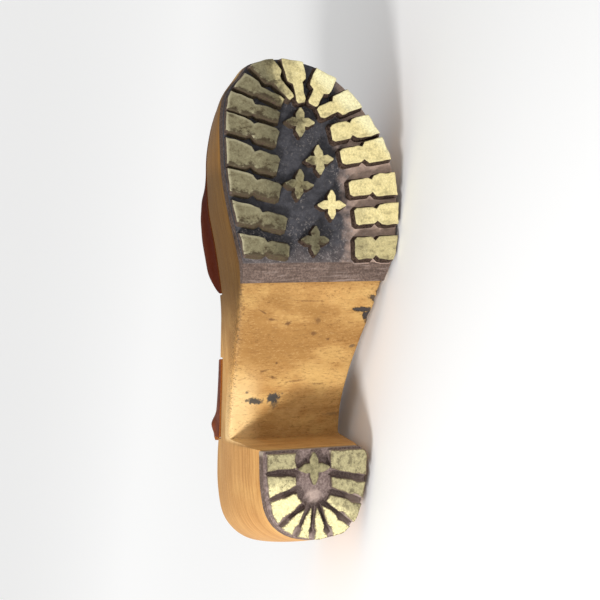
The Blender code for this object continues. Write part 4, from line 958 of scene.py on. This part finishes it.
def tread_numbers(bm):
    """What the rubber's materials need at each point of a tread.

    The depth below the lugs' faces, how near it is to a wall, and to a wall that faces the heel, and
    whether it belongs to the band round the outside.
    """
    walls = [face for face in bm.faces if abs(face.normal.z) < WALL_STEEP and face.calc_area() > LEAST_WALL]
    corners = [vertex.co.copy() for face in walls for vertex in face.verts]
    polygons = []
    for face in walls:
        start = polygons[-1][-1] + 1 if polygons else 0
        polygons.append(list(range(start, start + len(face.verts))))
    tree = BVHTree.FromPolygons(corners, polygons)
    skirt = [place for place in corners if lug_depth(place) > BAND_DEPTH]
    rim = KDTree(len(skirt))
    for index, place in enumerate(skirt):
        rim.insert((place.x, place.y, 0.0), index)
    rim.balance()
    numbers = {"depth": [], "edge": [], "heelward": [], "outer": []}
    for vertex in bm.verts:
        _, facing, _, distance = tree.find_nearest(vertex.co)
        _, _, from_rim = rim.find((vertex.co.x, vertex.co.y, 0.0))
        numbers["depth"].append(lug_depth(vertex.co))
        numbers["edge"].append(max(0.0, 1.0 - distance / EDGE_REACH))
        numbers["heelward"].append(max(0.0, 1.0 - distance / HEELWARD_REACH) * max(0.0, -facing.x))
        numbers["outer"].append(min(1.0, max(0.0, 2.0 - from_rim / OUTER_REACH)))
    return numbers


def tread(name, node, material):
    """A worn tread with its numbers on it."""
    bm = worn_lugs(node)
    dress(name, node, bm, [material], tread_numbers(bm), LUG_SMOOTH_DEG)


def add_floor():
    """Large pale sweep under the shoe."""
    bm = bmesh.new()
    bmesh.ops.create_grid(bm, x_segments=2, y_segments=2, size=FLOOR_HALF)
    sweep = placed(bm, "floor")
    sweep.data.materials.append(floor_material())


def aimed(at, target, up):
    """Matrix of something at a point that looks at a target."""
    back = (at - target).normalized()
    right = up.cross(back).normalized()
    turn = Matrix((right, back.cross(right), back)).transposed()
    return Matrix.Translation(at) @ turn.to_4x4()


def add_camera():
    """The photograph's camera, turned in its place so that this one shoe is in the middle."""
    data = bpy.data.cameras.new("photo_camera")
    data.lens_unit = "FOV"
    data.angle = math.radians(FIELD_OF_VIEW_DEG)
    made = bpy.data.objects.new("photo_camera", data)
    bpy.context.scene.collection.objects.link(made)
    lean = math.radians(CAMERA_LEAN_DEG)
    up = SHOE_TO_ROW.to_3x3().normalized() @ Vector((math.cos(lean), math.sin(lean), 0.0))
    made.matrix_world = aimed(SHOE_TO_ROW @ Vector(CAMERA_AT), SHOE_TO_ROW @ Vector(CAMERA_AIM), up)
    bpy.context.scene.camera = made


def add_lights():
    """One soft light from the heel and inner side, and an even pale sky."""
    turn = SHOE_TO_ROW.to_3x3().normalized()
    aim = SHOE_TO_ROW @ Vector(CAMERA_AIM)
    data = bpy.data.lights.new("key", "AREA")
    data.shape = "DISK"
    data.size = KEY_SIZE
    data.energy = KEY_POWER
    key = bpy.data.objects.new("key", data)
    bpy.context.scene.collection.objects.link(key)
    at = aim + (turn @ Vector(KEY_FROM)).normalized() * KEY_DISTANCE
    key.matrix_world = aimed(at, aim, Vector((0.0, 0.0, 1.0)))
    world = bpy.data.worlds.new("sky")
    world.use_nodes = True
    background = world.node_tree.nodes["Background"]
    background.inputs["Color"].default_value = (*WHITE, 1.0)
    background.inputs["Strength"].default_value = SKY_STRENGTH
    bpy.context.scene.world = world
    bpy.context.scene.view_settings.view_transform = "Standard"


leather = leather_material()
raw_edge = raw_leather_material("leather_edge", LEATHER.edge_light, LEATHER.edge_dark, EDGE_GRAIN)
dyed_edge = raw_leather_material("dyed_leather_edge", LEATHER.dyed_light, LEATHER.dyed_dark, EDGE_GRAIN)
flesh = raw_leather_material("leather_flesh_side", LEATHER.flesh_light, LEATHER.flesh_dark, FLESH_GRAIN)
brass = brass_material()
toe_sides = [leather, flesh, dyed_edge]
strap_sides = [leather, flesh, raw_edge]

platform = knocked(subdivided(shoe_mesh("wood_sole"), WOOD_SHARP_DEG))
dress("carved_platform", "wood_sole", platform, [wood_material()])
tread("forefoot_tread", "forefoot_rubber", forefoot_rubber_material())
tread("heel_tread", "heel_rubber", heel_rubber_material())
dress("toe_leather", "vamp", flexed(leather_sheet("vamp", INSIDE_TOE)), toe_sides)
strap = punched(bent_out(leather_sheet("instep_strap", UNDER_STRAP)))
dress("strap_leather", "instep_strap", strap, strap_sides)
dress("buckle_tab", "lateral_tab", leather_sheet("lateral_tab", UNDER_STRAP), strap_sides)
dress("keeper_loop", "strap_keeper", subdivided(shoe_mesh("strap_keeper"), KEEPER_SHARP_DEG), [leather])
for name, node in (("buckle_wire", "buckle_frame"), ("buckle_pin", "buckle_prong")):
    dress(name, node, subdivided(shoe_mesh(node), BRASS_SHARP_DEG), [brass])

add_floor()
add_camera()
add_lights()
